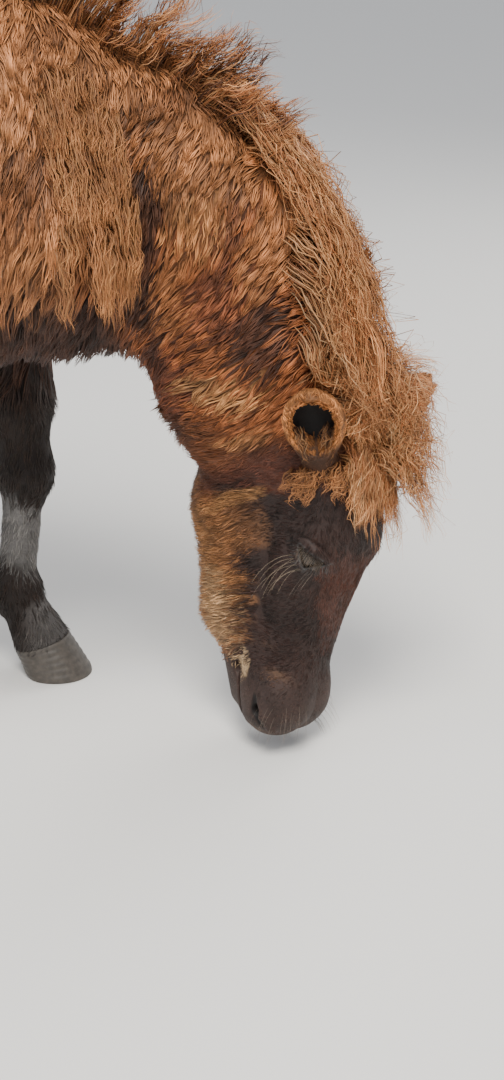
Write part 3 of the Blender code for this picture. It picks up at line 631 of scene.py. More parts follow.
def mesh_object(name, points, triangles, uv, values):
    """A mesh from arrays, with its bake map and named attributes."""
    mesh = bpy.data.meshes.new(name)
    mesh.vertices.add(len(points))
    mesh.vertices.foreach_set("co", points.astype(np.float32).ravel())
    mesh.loops.add(triangles.size)
    mesh.loops.foreach_set("vertex_index", triangles.astype(np.int32).ravel())
    mesh.polygons.add(len(triangles))
    mesh.polygons.foreach_set("loop_start", np.arange(0, triangles.size, 3, dtype=np.int32))
    mesh.update(calc_edges=True)
    mesh.shade_smooth()
    bake_map(mesh, uv[triangles.ravel()])
    give(mesh, values)
    return linked(name, mesh)


def give(mesh, values):
    """Store per-point numbers and colours for the materials to read."""
    for key, data in values.items():
        if data.ndim == 1:
            layer = mesh.attributes.new(key, "FLOAT", "POINT")
            layer.data.foreach_set("value", data.astype(np.float32))
        else:
            layer = mesh.attributes.new(key, "FLOAT_COLOR", "POINT")
            full = np.concatenate([data, np.ones((len(data), 1))], 1)
            layer.data.foreach_set("color", full.astype(np.float32).ravel())


# The bake map: each part of the body has six flat charts, one for each way that it faces.
CHART_ROWS = 8


def part_of(points):
    """A number for the part that a point belongs to: head, neck, torso or one of four legs."""
    x, y, z = points.T
    part = np.full(len(points), 2)
    part[(points - np.array(NECK[1][0])) @ np.array((1, 0, -0.12)) > 0] = 1
    part[on_head(points) > 0.5] = 0
    fore = (z < 0.40) & (x > -0.26) & (x < 0.10)
    hind = (z < 0.42 - 0.314 * (x + 0.36)) & (x < -0.30)
    part[fore & (y > 0)] = 3
    part[fore & (y <= 0)] = 4
    part[hind & (y > 0)] = 5
    part[hind & (y <= 0)] = 6
    return part


# Corner and side of the cube that each part's charts cover.
CHART_BOX = (
    ((0.14, -0.20, -0.02), 0.46), ((0.10, -0.26, 0.24), 0.66), ((-0.90, -0.30, 0.30), 1.16),
    ((-0.30, -0.02, -0.02), 0.46), ((-0.30, -0.26, -0.02), 0.46),
    ((-0.86, -0.02, -0.02), 0.66), ((-0.86, -0.30, -0.02), 0.66),
)


def chart(points, normals, middle=None):
    """Place of each point on the skin's own unwrap, by part and by the way that it faces."""
    part = part_of(points if middle is None else middle)
    facing = np.argmax(np.concatenate([normals, -normals], 1), axis=1)
    low = np.array([box[0] for box in CHART_BOX])[part]
    size = np.array([box[1] for box in CHART_BOX])[part][:, None]
    share = np.clip((points - low) / size, 0, 1)
    axis = facing % 3
    u = np.where(axis == 0, share[:, 1], share[:, 0])
    v = np.where(axis == 2, share[:, 1], share[:, 2])
    column = facing / 6
    row = part / CHART_ROWS
    return np.stack([column + 0.004 + 0.150 * u, row + 0.004 + 0.130 * v], 1)


# Markings: base colours of each part, then soft ovals laid over them. Some of this colour is painted shade
# and painted sunlight.
TORSO_TAN = (0.400, 0.165, 0.062)
TORSO_DEEP = (0.200, 0.070, 0.026)
NECK_CHESTNUT = (0.290, 0.094, 0.030)
LEG_BROWN = (0.030, 0.017, 0.012)
FACE_LIVER = (0.050, 0.025, 0.019)
MUZZLE_BROWN = (0.080, 0.046, 0.036)
# Gold: the paler guard hairs, partly their own colour and partly painted sunlight on them.
GOLD_SUNLIT = (0.560, 0.270, 0.100)
TAN = (0.440, 0.190, 0.070)
CREAM = (0.660, 0.450, 0.250)
RED_BROWN = (0.150, 0.046, 0.024)
DARK = (0.046, 0.020, 0.013)
GREY = (0.360, 0.345, 0.330)
LID_GREY = (0.110, 0.100, 0.095)
# Painted shade inside the nostrils.
NOSTRIL_SHADE = (0.012, 0.007, 0.006)

# On the neck, seen from its side: middle (X, Z), half sizes, turn in degrees, colour, strength.
# The gold ovals are paler guard hairs with painted sunlight on them.
NECK_SPOTS = (
    ((0.285, 0.700), (0.075, 0.048), 0, TAN, 0.60),
    ((0.271, 0.627), (0.036, 0.018), -15, GOLD_SUNLIT, 0.50),
    ((0.254, 0.553), (0.028, 0.055), 0, TAN, 0.40),
    ((0.306, 0.615), (0.011, 0.045), 8, DARK, 0.55),
    ((0.300, 0.548), (0.024, 0.050), 0, RED_BROWN, 0.65),
    ((0.345, 0.600), (0.022, 0.060), 0, TAN, 0.50),
    ((0.340, 0.503), (0.027, 0.045), 0, DARK, 0.85),
    ((0.235, 0.440), (0.032, 0.060), 0, RED_BROWN, 0.75),
    ((0.296, 0.432), (0.042, 0.019), -22, GOLD_SUNLIT, 0.80),
    ((0.325, 0.385), (0.027, 0.011), 20, GOLD_SUNLIT, 0.60),
)
# On the head, both sides alike: middle (down, out of the face), half sizes, turn, colour, strength.
HEAD_SPOTS = (
    ((0.040, -0.040), (0.040, 0.070), 0, RED_BROWN, 0.80),
    ((0.130, -0.050), (0.040, 0.040), 0, TAN, 0.40),
    # The next three ovals: the paler fur of the jaw and cheek, with painted sunlight on it.
    ((0.190, -0.088), (0.105, 0.056), 0, TAN, 0.85),
    ((0.210, -0.092), (0.070, 0.046), 0, GOLD_SUNLIT, 0.65),
    ((0.103, -0.045), (0.010, 0.032), 50, GOLD_SUNLIT, 0.80),
    ((0.095, -0.080), (0.020, 0.020), 0, RED_BROWN, 0.70),
    ((0.235, -0.060), (0.036, 0.018), 0, CREAM, 0.50),
    ((0.283, -0.041), (0.016, 0.008), 20, CREAM, 0.85),
    ((0.200, 0.056), (0.070, 0.016), 0, RED_BROWN, 0.60),
)


def spot(a, b, centre, radii, turn):
    """A soft oval in a plane: 1 in its middle, 0 outside."""
    c, s = math.cos(math.radians(turn)), math.sin(math.radians(turn))
    p, q = a - centre[0], b - centre[1]
    away = ((c * p + s * q) / radii[0])**2 + ((c * q - s * p) / radii[1])**2
    return fade(1.5 - 0.9 * away)


def ripple(points, scale, seed):
    """Blotchy noise from about -1 to 1, as a sum of waves in random directions."""
    chance = np.random.default_rng(seed)
    total = np.zeros(len(points))
    for _ in range(10):
        way = chance.normal(size=3)
        total += np.sin(points @ (way / np.linalg.norm(way) * scale * chance.uniform(0.6, 1.6))
                        + chance.uniform(0, 6.28))
    return total / 3.2


def blend_to(colour, target, share):
    return colour * (1 - share[:, None]) + np.array(target) * share[:, None]


def plain(colour, count):
    """The same colour for many points."""
    return np.tile(np.array(colour), (count, 1))


def lay_spots(colour, a, b, spots, frays, mask):
    """Lay ovals of colour over a coat, with edges that noise frays."""
    for centre, radii, turn, target, strength in spots:
        share = spot(a, b, centre, radii, turn)
        share = fade(1.3 * share - 0.2 + frays * (0.2 + 1.5 * share * (1 - share)))
        colour = blend_to(colour, target, strength * share * mask)
    return colour


def groove(x, z):
    """1 along the hollow between shoulder and neck."""
    return spot(x, z, (0.220, 0.580), (0.013, 0.110), 4)


def markings_and_painted_light(points):
    """The coat's colour at points of the skin, with painted shade and painted sunlight in it."""
    x, _, z = points.T
    m = mirrored(points)
    face = on_head(points)
    on_neck = neck_share(points)
    shift = ripple(points, 45, 1) * 0.008
    colour = plain(TORSO_TAN, len(points))
    shag = ripple(points * np.array((75, 75, 26)), 1, 14)
    colour = blend_to(colour, TORSO_DEEP, fade(0.35 + 0.5 * shag) * 0.6)
    # Darker towards the belly and lower chest: partly the short dark fur there, partly painted shade under
    # the body.
    low = 0.500 + 0.100 * fade((x + 0.10) / 0.18)
    colour = blend_to(colour, DARK, fade((low - z + 2 * shift) / 0.045) * 0.95)
    colour = blend_to(colour, NECK_CHESTNUT, on_neck)
    strands = ripple(points * np.array((40, 60, 130)), 1, 15)
    colour = lay_spots(colour, x + shift, z + shift, NECK_SPOTS, strands, on_neck * (1 - face))
    # Painted shadow in the hollow where the shoulder's coat hangs over the neck.
    colour = blend_to(colour, DARK, fade(groove(x + shift, z) + 0.25 * strands) * 0.85 * (1 - face))
    colour = blend_to(colour, FACE_LIVER, face)
    muzzle = face * fade((m[:, 0] - 0.27) / 0.05)
    colour = blend_to(colour, MUZZLE_BROWN, muzzle)
    frays = ripple(m * np.array((190, 45, 60)), 1, 16)
    rim = np.abs(eye_opening(lid_frame(points)) - 0.0008)
    colour = lay_spots(colour, m[:, 0] + shift, m[:, 1] + shift, HEAD_SPOTS, frays, face)
    colour = blend_to(colour, LID_GREY, face * fade(1.4 - rim / 0.0020) * (m[:, 0] < 0.20))
    # Inside the nostrils: painted shade.
    colour = blend_to(colour, NOSTRIL_SHADE, face * bare(points) * fade((m[:, 0] - 0.28) / 0.02))
    legs = fade((0.42 - z) / 0.05) * (1 - face) * (x < 0.12)
    colour = blend_to(colour, LEG_BROWN, legs)
    silver = ripple(points * np.array((42, 42, 17)), 1, 9)
    colour = blend_to(colour, GREY, legs * fade((silver - 0.35) / 0.4) * 0.7)
    sock = legs * fade((0.100 - z + 4 * shift) / 0.04)
    colour = blend_to(colour, GREY, sock * fade(0.5 + 0.6 * silver) * 0.9)
    return np.clip(colour * (1 + 0.16 * ripple(points, 120, 2))[:, None], 0.004, 1)


# Lie of the coat.
def neck_axis(points):
    """Direction of the neck from body to head at the nearest of its stations."""
    total = np.zeros((len(points), 3))
    for i, (centre, _) in enumerate(NECK):
        before, after = NECK[max(i - 1, 0)][0], NECK[min(i + 1, len(NECK) - 1)][0]
        away = np.linalg.norm(points - np.array(centre), axis=1)
        total += np.array((after - before).normalized()) / (away[:, None]**4 + 1e-6)
    return unit(total)


def lie(points, normals):
    """Which way the hair lies on the skin, as unit vectors along it."""
    x, _, z = points.T
    front = fade((x + 0.02) / 0.12)[:, None]
    flow = np.array((-0.80, 0, -0.60)) * (1 - front) + np.array((-0.28, 0, -0.96)) * front
    dock = fade((-0.66 - x) / 0.05)[:, None]
    flow = flow * (1 - dock) + np.array(DOCK_OUT) * dock
    low = fade((0.43 - z) / 0.06)[:, None]
    flow = flow * (1 - low) + np.array((-0.15, 0, -1.0)) * low
    axis = neck_axis(points)
    throat = np.stack([axis[:, 2], np.zeros(len(points)), -axis[:, 0]], 1)
    on_neck = neck_share(points)[:, None]
    flow = flow * (1 - on_neck) + (throat + 0.15 * axis) * on_neck
    m = mirrored(points)
    face = on_head(points)[:, None]
    frontal = fade((m[:, 1] - 0.022) / 0.035)[:, None]
    muzzle = fade((m[:, 0] - 0.26) / 0.06)[:, None]
    ahead = np.maximum(frontal, 0.75 * muzzle)
    down, out = np.array(DOWN), np.array(FRONT)
    cheek = -0.92 * out + 0.30 * down
    flow = flow * (1 - face) + (cheek * (1 - ahead) + down * ahead) * face
    flow = flow + 0.22 * np.stack([ripple(points, 60, k) for k in (5, 6, 7)], 1)
    flow = flow - normals * np.sum(flow * normals, axis=1, keepdims=True)
    return unit(flow)


def hair_length(points):
    x, _, z = points.T
    face = on_head(points)
    m = mirrored(points)
    on_neck = neck_share(points, 0.06)
    length = 0.050 * (1 - on_neck) + 0.036 * on_neck
    length = length * (1 - 0.25 * groove(x, z))
    low = fade((0.42 - z) / 0.10)
    length = length * (1 - low) + 0.015 * low
    jaw = fade((-0.020 - m[:, 1]) / 0.05) * fade((0.30 - m[:, 0]) / 0.05)
    short = 0.0095 + 0.0130 * jaw - 0.0050 * fade((m[:, 0] - 0.27) / 0.04)
    return length * (1 - face) + short * face


def scatter(surface, count, weight, seed):
    """Random places on a mesh, with their normals."""
    points, triangles, normals = surface
    a, b, c = (points[triangles[:, k]] for k in range(3))
    area = np.linalg.norm(np.cross(b - a, c - a), axis=1)
    share = area * weight((a + b + c) / 3)
    chance = np.random.default_rng(seed)
    pick = chance.choice(len(triangles), count, p=share / share.sum())
    u, v = chance.random(count), chance.random(count)
    flip = u + v > 1
    u[flip], v[flip] = 1 - u[flip], 1 - v[flip]
    mix = (1 - u - v, u, v)
    root = sum(points[triangles[pick, k]] * mix[k][:, None] for k in range(3))
    normal = unit(sum(normals[triangles[pick, k]] * mix[k][:, None] for k in range(3)))
    return root, normal, chance


def tubes(lines, normals, widths, flat=0.55):
    """Three-sided tapered tubes along many lines at once: points, triangles and share of the length."""
    count, rings = lines.shape[0], lines.shape[1] - 1
    tangent = unit(np.gradient(lines, axis=1))
    across = unit(np.cross(tangent, normals))
    above = np.cross(across, tangent)
    t = np.arange(rings) / rings
    wide = (widths[:, None] * (1 - 0.75 * t**1.5))[..., None]
    centre, across, above = lines[:, :rings], across[:, :rings], above[:, :rings]
    sides = [centre - across * wide, centre + above * wide * flat, centre + across * wide]
    body_points = np.stack(sides, 2).reshape(count, rings * 3, 3)
    points = np.concatenate([body_points, lines[:, -1:]], 1)
    pattern = []
    for ring in range(rings - 1):
        for i in range(3):
            j = (i + 1) % 3
            low_i, low_j, high_i, high_j = 3 * ring + i, 3 * ring + j, 3 * ring + 3 + i, 3 * ring + 3 + j
            pattern += [(low_i, low_j, high_j), (low_i, high_j, high_i)]
    last = 3 * (rings - 1)
    pattern += [(last + i, last + (i + 1) % 3, 3 * rings) for i in range(3)]
    pattern = np.array(pattern)[:, ::-1]
    each = rings * 3 + 1
    triangles = (pattern[None] + each * np.arange(count)[:, None, None]).reshape(-1, 3)
    share = np.tile(np.append(np.repeat(t, 3), 1.0), count)
    return points.reshape(-1, 3), triangles, share, each


PATCH = 0.003             # of the bake map, for each tuft
PIECE_LIMIT = 190000      # triangles in one coat piece
SLACK_SHARE = 0.03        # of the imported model's sides, plus
SLACK = 0.007             # this, is as far as hair may reach past it
FLOOR_CLEAR = 0.0008


def hair_pieces(name, lines, normals, widths, colours, places, shade, flat=0.55):
    """Turn many hairs into pieces that each hold fewer triangles than the limit."""
    low, high = (np.array(corner) + np.array(ORIGIN) for corner in CAD_BOX)
    slack = SLACK_SHARE * (high - low) + SLACK
    low = np.array((*(low - slack)[:2], FLOOR_CLEAR))
    lines = np.clip(lines, low, high + slack)
    rings = lines.shape[1] - 1
    per_hair = 6 * (rings - 1) + 3
    batch = PIECE_LIMIT // per_hair
    chance = np.random.default_rng(len(lines))
    tint = chance.random(len(lines))
    for start in range(0, len(lines), batch):
        cutout = slice(start, start + batch)
        points, triangles, share, each = tubes(lines[cutout], normals[cutout], widths[cutout], flat)
        sideways = np.tile(np.append(np.tile((0.0, 0.5, 1.0), rings), 0.5), len(lines[cutout]))
        uv = np.repeat(places[cutout], each, axis=0)
        uv = uv + PATCH * np.stack([sideways, share], 1)
        values = {
            "mark": np.repeat(colours[cutout], each, axis=0),
            "along": share,
            "tint": np.repeat(tint[cutout], each),
        }
        part_name = name if len(lines) <= batch else f"{name}_{start // batch + 1}"
        thing = mesh_object(part_name, points, triangles, uv, values)
        thing.data.materials.append(shade)
        settle(thing)


def settle(thing):
    """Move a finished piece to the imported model's frame and let it ride there."""
    thing.data.transform(Matrix.Translation(-ORIGIN))
    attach(thing, "root")


def gangs(root, flow, size, reach):
    """For each hair, the nearest of the hairs that clumps gather round, or itself if none is near."""
    leaders = np.arange(0, len(root), size)
    tree = KDTree(len(leaders))
    for k, leader in enumerate(leaders):
        tree.insert(root[leader] + flow[leader] * 0.004, k)
    tree.balance()
    follow = leaders[np.array([tree.find(place)[1] for place in root])]
    far = np.linalg.norm(root[follow] - root, axis=1) > reach
    return np.where(far, np.arange(len(root)), follow)


def coat(name, surface, count, weight, steps, width, lift, droop, clump, seed, shade,
         way=lie, reach=hair_length, paint=markings_and_painted_light, place=chart, upstream=0.0, contrast=0.25,
         sink=0.0015, above_skin=False):
    """Fur on the skin: hairs that follow its lie, gathered to clumps towards their tips."""
    root, normal, chance = scatter(surface, count, weight, seed)
    flow = way(root, normal)
    follow = gangs(root, flow, 10, 0.02)
    length = reach(root) * chance.uniform(0.75, 1.20, count)
    rise = np.radians(lift) * chance.uniform(0.5, 1.5, count)
    rise = (0.4 * rise + 0.6 * rise[follow])[:, None]
    heading = unit(flow * np.cos(rise) + normal * np.sin(rise))
    side = np.cross(flow, normal)
    phase = chance.uniform(0, 6.28, count)
    points = root - normal * sink
    lines = [points]
    pull = np.array((0, 0, -droop)) + normal * np.maximum(normal[:, 2:], 0) * droop
    for i in range(steps):
        sway = side * (0.28 * np.sin(phase + 2.2 * i))[:, None]
        heading = unit(heading - normal * (0.50 * np.sin(rise)) + pull)
        points = points + unit(heading + sway) * (length / steps)[:, None]
        if above_skin:
            lack = 0.0022 * (i + 1) - body(points) - coat_depth(points)
            points = points + normal * np.clip(lack, 0, 0.015)[:, None]
        lines.append(points)
    lines = np.stack(lines, 1)
    gather = clump * (np.arange(steps + 1) / steps)**1.3
    lines = lines + (lines[follow] - lines) * gather[None, :, None]
    normals = np.repeat(normal[:, None], steps + 1, axis=1)
    widths = width * chance.uniform(0.7, 1.3, count)
    colours = paint(root - flow * upstream * chance.random((count, 1)))
    bright = 1 + contrast * chance.normal(0, 1, count)
    bright = np.clip(0.5 * bright + 0.5 * bright[follow], 0.30, 1.8)
    hair_pieces(name, lines, normals, widths, colours * bright[:, None], place(root, normal), shade)


# Long hair: guide lines that drape over the body, each with many hairs round it.
def drape(guides, field, fall, wave, steps, off):
    """Guide lines that start along a heading, sink, and keep off a field, with their normals."""
    roots, headings, lengths = zip(*guides)
    points = np.array(roots, float)
    heading = unit(np.array(headings, float))
    stride = np.array(lengths)[:, None] / steps
    phase = np.arange(len(points)) * 2.4
    normal = slope(points, field)
    lines = [points - normal * 0.016]
    normals = [normal]
    for i in range(steps):
        heading = unit(heading + np.array((0, 0, -fall)))
        normal = slope(points, field)
        inward = np.minimum(np.sum(heading * normal, axis=1, keepdims=True), 0)
        near = (field(points) < off * 2)[:, None]
        heading = unit(heading - inward * normal * near)
        sway = np.cross(heading, normal) * (wave * np.sin(phase + 1.3 * i))[:, None]
        points = points + (heading + sway) * stride
        for _ in range(2):
            lack = off - field(points)
            points = points + slope(points, field) * np.maximum(lack, 0)[:, None]
        lines.append(points)
        normals.append(normal)
    return np.stack(lines, 1), np.stack(normals, 1)


def wisps(lines, normals, each, spread, curl, wave, seed):
    """Many hairs round each guide line, fanned at the root, gathered at the tip and waved together."""
    chance = np.random.default_rng(seed)
    count, rings = lines.shape[:2]
    t = np.arange(rings) / (rings - 1)
    tangent = unit(np.gradient(lines, axis=1))
    across = unit(np.cross(tangent, normals))
    above = np.cross(across, tangent)
    reach = np.linalg.norm(np.diff(lines, axis=1), axis=2).sum(1)[:, None, None]
    angle = chance.uniform(0, 6.28, (count, each, 1))
    away = spread * np.sqrt(chance.random((count, each, 1)))
    fan = away * (1.0 - 0.45 * t)
    phase = chance.uniform(0, 6.28, (count, 1, 1)) + chance.normal(0, 0.6, (count, each, 1))
    pace = 6.28 * reach / wave * chance.uniform(0.75, 1.3, (count, 1, 1))
    stray = 1 + 2.2 * (chance.random((count, each, 1)) > 0.88)
    size = curl * stray * chance.uniform(0.4, 1.4, (count, each, 1)) * np.minimum(1.6 * t, 1)
    a = fan * np.cos(angle) + size * np.sin(phase + pace * t)
    b = 0.6 * fan * np.sin(angle) + 0.8 * size * np.cos(phase + 0.9 * pace * t)
    # Hairs end at different lengths, so each reads its guide only as far as its own share.
    cover = chance.uniform(0.65, 1.0, (count, each, 1)) * t * (rings - 1)
    low = np.minimum(cover.astype(int), rings - 2)
    part = (cover - low)[..., None]
    which = np.arange(count)[:, None, None]

    def read(values):
        return values[which, low] * (1 - part) + values[which, low + 1] * part

    hairs = read(lines) + read(across) * a[..., None] + read(above) * b[..., None]
    return hairs.reshape(-1, rings, 3), np.broadcast_to(read(normals), hairs.shape).reshape(-1, rings, 3)


MANE_RED = (0.380, 0.140, 0.048)
MANE_TAN = (0.630, 0.305, 0.125)
MANE_PALE = (0.750, 0.460, 0.240)
MANE_DARK = (0.100, 0.038, 0.018)


def long_hair(name, guides, each, spread, curl, wave, seed, shade, width, colour_at):
    lines, normals = guides
    hairs, hair_normals = wisps(lines, normals, each, spread, curl, wave, seed)
    chance = np.random.default_rng(seed + 1)
    widths = width * chance.uniform(0.6, 1.4, len(hairs))
    root = hairs[:, 0]
    bright = np.repeat(chance.uniform(0.80, 1.20, len(lines)), each)[:, None]
    colours = colour_at(root, chance) * bright
    hair_pieces(name, hairs, hair_normals, widths, colours, chart(root, hair_normals[:, 0]), shade,
                0.8)


def mane_colour(root, chance):
    pick = chance.random(len(root)) + 0.22 * ripple(root, 90, 12)
    colour = blend_to(plain(MANE_RED, len(root)), MANE_TAN, fade((pick - 0.15) / 0.5))
    return blend_to(colour, MANE_PALE, fade((pick - 0.75) / 0.4))


def withers_colour(root, chance):
    pick = chance.random(len(root)) + 0.2 * ripple(root, 90, 13)
    colour = blend_to(plain(MANE_RED, len(root)), MANE_DARK, fade((0.35 - pick) / 0.3))
    return blend_to(colour, MANE_TAN, fade((pick - 0.55) / 0.4))


def tail_colour(root, chance):
    pick = chance.random(len(root))
    return blend_to(plain(MANE_RED, len(root)), MANE_DARK, fade((0.5 - pick) / 0.3))


def crest_guides(count, chance):
    """The mane: hairs left of the crest fall to the far side, the others lie along the neck."""
    guides = []
    for i in range(count):
        share = 0.20 + 0.78 * (i + chance.uniform(0.0, 1.0)) / count
        centre, up, left, axis = crest_frame(share)
        lean = chance.uniform(-0.22 - 0.72 * min(max((share - 0.38) / 0.25, 0), 1), 0.40)
        root = surface_point(centre, (up + left * lean).normalized(), 0.25)
        if lean > 0.05:
            heading = up * 0.40 + left * chance.uniform(0.1, 0.9) + axis * 0.6
            length = chance.uniform(0.12, 0.18)
        else:
            heading = up * 0.38 + left * chance.uniform(-0.15, 0.10) + axis * 0.9
            length = min(chance.uniform(0.14, 0.21), 0.035 + 0.45 * (0.98 - share))
        guides.append((root, heading, length))
    return drape(guides, obstacles, 0.22, 0.35, 12, 0.005)


def withers_guides(count, chance):
    """The tuft from the withers along the upper neck, standing up and blown forwards."""
    guides = []
    for i in range(count):
        share = (i + chance.random()) / count
        place = Vector((-0.08 + 0.36 * share, 0.0, 0.70 - 0.09 * share))
        lean = chance.uniform(-0.30, 0.24)
        root = surface_point(place, Vector((0.10 + 0.5 * share, lean, 1)).normalized(), 0.25)
        ahead = 0.30 + 0.55 * share + chance.uniform(-0.15, 0.25)
        heading = Vector((ahead, 1.2 * lean + 0.05, 1.0 - 0.50 * share))
        guides.append((root, heading, chance.uniform(0.070, 0.120) - 0.050 * share))
    return drape(guides, body, 0.04, 0.20, 10, 0.004)


def poll_guides(count, chance):
    """Loose curls that stand out from the poll and the forehead and hide most of the far ear."""
    guides = []
    for i in range(count):
        if i % 2:
            left = chance.uniform(0.0, 0.050)
            start = from_head(chance.uniform(-0.030, 0.040), 0, left)
            root = surface_point(start, (FRONT - DOWN * 0.1).normalized(), 0.12)
            heading = FRONT * 0.85 + LEFT * chance.uniform(0.1, 0.7) + DOWN * chance.uniform(-0.1, 0.5)
            guides.append((root, heading, chance.uniform(0.070, 0.125)))
        else:
            centre, up, left, axis = crest_frame(chance.uniform(0.78, 0.99))
            root = surface_point(centre, (up + left * chance.uniform(-0.2, 0.6)).normalized(), 0.25)
            heading = up * 0.85 + axis * chance.uniform(0.3, 0.9) + left * chance.uniform(-0.1, 0.2)
            guides.append((root, heading, chance.uniform(0.080, 0.125)))
    return drape(guides, obstacles, 0.13, 0.35, 12, 0.015)


def forelock_guides(count, chance):
    guides = []
    for _ in range(count):
        left = chance.uniform(-0.040, 0.045)
        start = from_head(chance.uniform(0.004, 0.060), 0, left)
        root = surface_point(start, (FRONT - DOWN * 0.25).normalized(), 0.12)
        heading = FRONT * 0.35 + DOWN * 0.75 + LEFT * (0.05 + 6.0 * left)
        guides.append((root, heading, chance.uniform(0.055, 0.100) + 0.6 * max(left, 0)))
    return drape(guides, obstacles, 0.22, 0.25, 10, 0.004)


def temple_guides(count, chance):
    """The curly tufts below each ear."""
    guides = []
    for i in range(2 * count):
        side = (1, -1)[i % 2]
        start = from_head(chance.uniform(0.030, 0.060), chance.uniform(-0.020, 0.050), 0)
        root = surface_point(start, (LEFT * side + FRONT * 0.3).normalized(), 0.12)
        heading = DOWN * 0.8 - FRONT * chance.uniform(-0.2, 0.5) + LEFT * side * 0.5
        guides.append((root, heading, chance.uniform(0.018, 0.036)))
    return drape(guides, body, 0.20, 0.40, 7, 0.004)


SHOULDER_EDGE = ((0.156, 0.759), (0.177, 0.716), (0.188, 0.680), (0.198, 0.644), (0.203, 0.606),
                 (0.196, 0.568), (0.179, 0.538))


def shoulder_guides(count, chance):
    """The shaggy edge of the shoulder's coat, where it hangs over the base of the neck."""
    guides = []
    for i in range(count):
        side = 1 if i % 6 == 0 else -1
        place = (len(SHOULDER_EDGE) - 1.001) * chance.random()
        k = int(place)
        (x0, z0), (x1, z1) = SHOULDER_EDGE[k:k + 2]
        x, z = x0 + (x1 - x0) * (place - k), z0 + (z1 - z0) * (place - k)
        start = Vector((x - 0.022 - 0.065 * chance.random()**1.5, 0.01 * side, z))
        root = surface_point(start, Vector((0.30, side, 0.1)).normalized(), 0.30)
        heading = Vector((0.40, 0.45 * side, -0.75))
        guides.append((root, heading, chance.uniform(0.040, 0.065)))
    return drape(guides, body, 0.35, 0.20, 7, 0.005)


def shoulder_colour(root, chance):
    pick = chance.random(len(root))
    # Some hairs go gold: paler guard hairs with painted sunlight on them.
    return blend_to(plain(TORSO_TAN, len(root)), GOLD_SUNLIT, fade((pick - 0.3) / 0.6) * 0.6)


def temple_colour(root, chance):
    pick = chance.random(len(root))
    # Many of these hairs go dark: painted shade below the ear.
    return blend_to(plain(TAN, len(root)), DARK, fade((0.4 - pick) / 0.3) * 0.8)


def tail_guides(count, chance):
    """Hair from all round the dock, which hangs down over the tail's core."""
    guides = []
    for i in range(count):
        turn = 2.4 * i
        share = i / count
        out = Vector((math.cos(turn), math.sin(turn), 0))
        start = DOCK.lerp(Vector((-0.797, 0.004, 0.560)), share)
        steps = np.array(start) + np.arange(0.010, 0.080, 0.002)[:, None] * np.array(out)
        inside = np.nonzero(tail_core(steps) < 0)[0]
        root = steps[inside[-1]] if len(inside) else steps[0]
        heading = out * 0.10 + Vector((-0.10 * (1 - share), 0, -1))
        guides.append((root, heading, chance.uniform(0.88, 1.05) * (start.z - 0.155) * 0.93))
    return drape(guides, tail_core, 0.6, 0.10, 10, 0.003)


def feather_guides(count, chance):
    """Longer hair down the backs of the fetlocks."""
    guides = []
    for foot_x, foot_y in STANCE.values():
        for _ in range(count):
            side = chance.uniform(-0.8, 0.8)
            start = Vector((foot_x, foot_y, FETLOCK_Z + chance.uniform(-0.020, 0.035)))
            root = surface_point(start, Vector((-1, side, 0)).normalized(), 0.08)
            heading = Vector((-0.20, side * 0.15, -1))
            guides.append((root, heading, chance.uniform(0.020, 0.034)))
    return drape(guides, body, 0.60, 0.10, 5, 0.0015)


def feather_colour(root, chance):
    pick = chance.random(len(root))
    return blend_to(plain(LEG_BROWN, len(root)), GREY, fade((pick - 0.2) / 0.5))


# Ears.
EAR_TAN = (0.420, 0.170, 0.055)
# Painted shade inside the ear's cup and on the wisps there.
EAR_CUP_SHADE = (0.010, 0.006, 0.005)


def ear_local(points, side):
    base, axis, opening, width = EARS[side]
    return (points - np.array(base)) @ np.array([axis, width, opening]).T


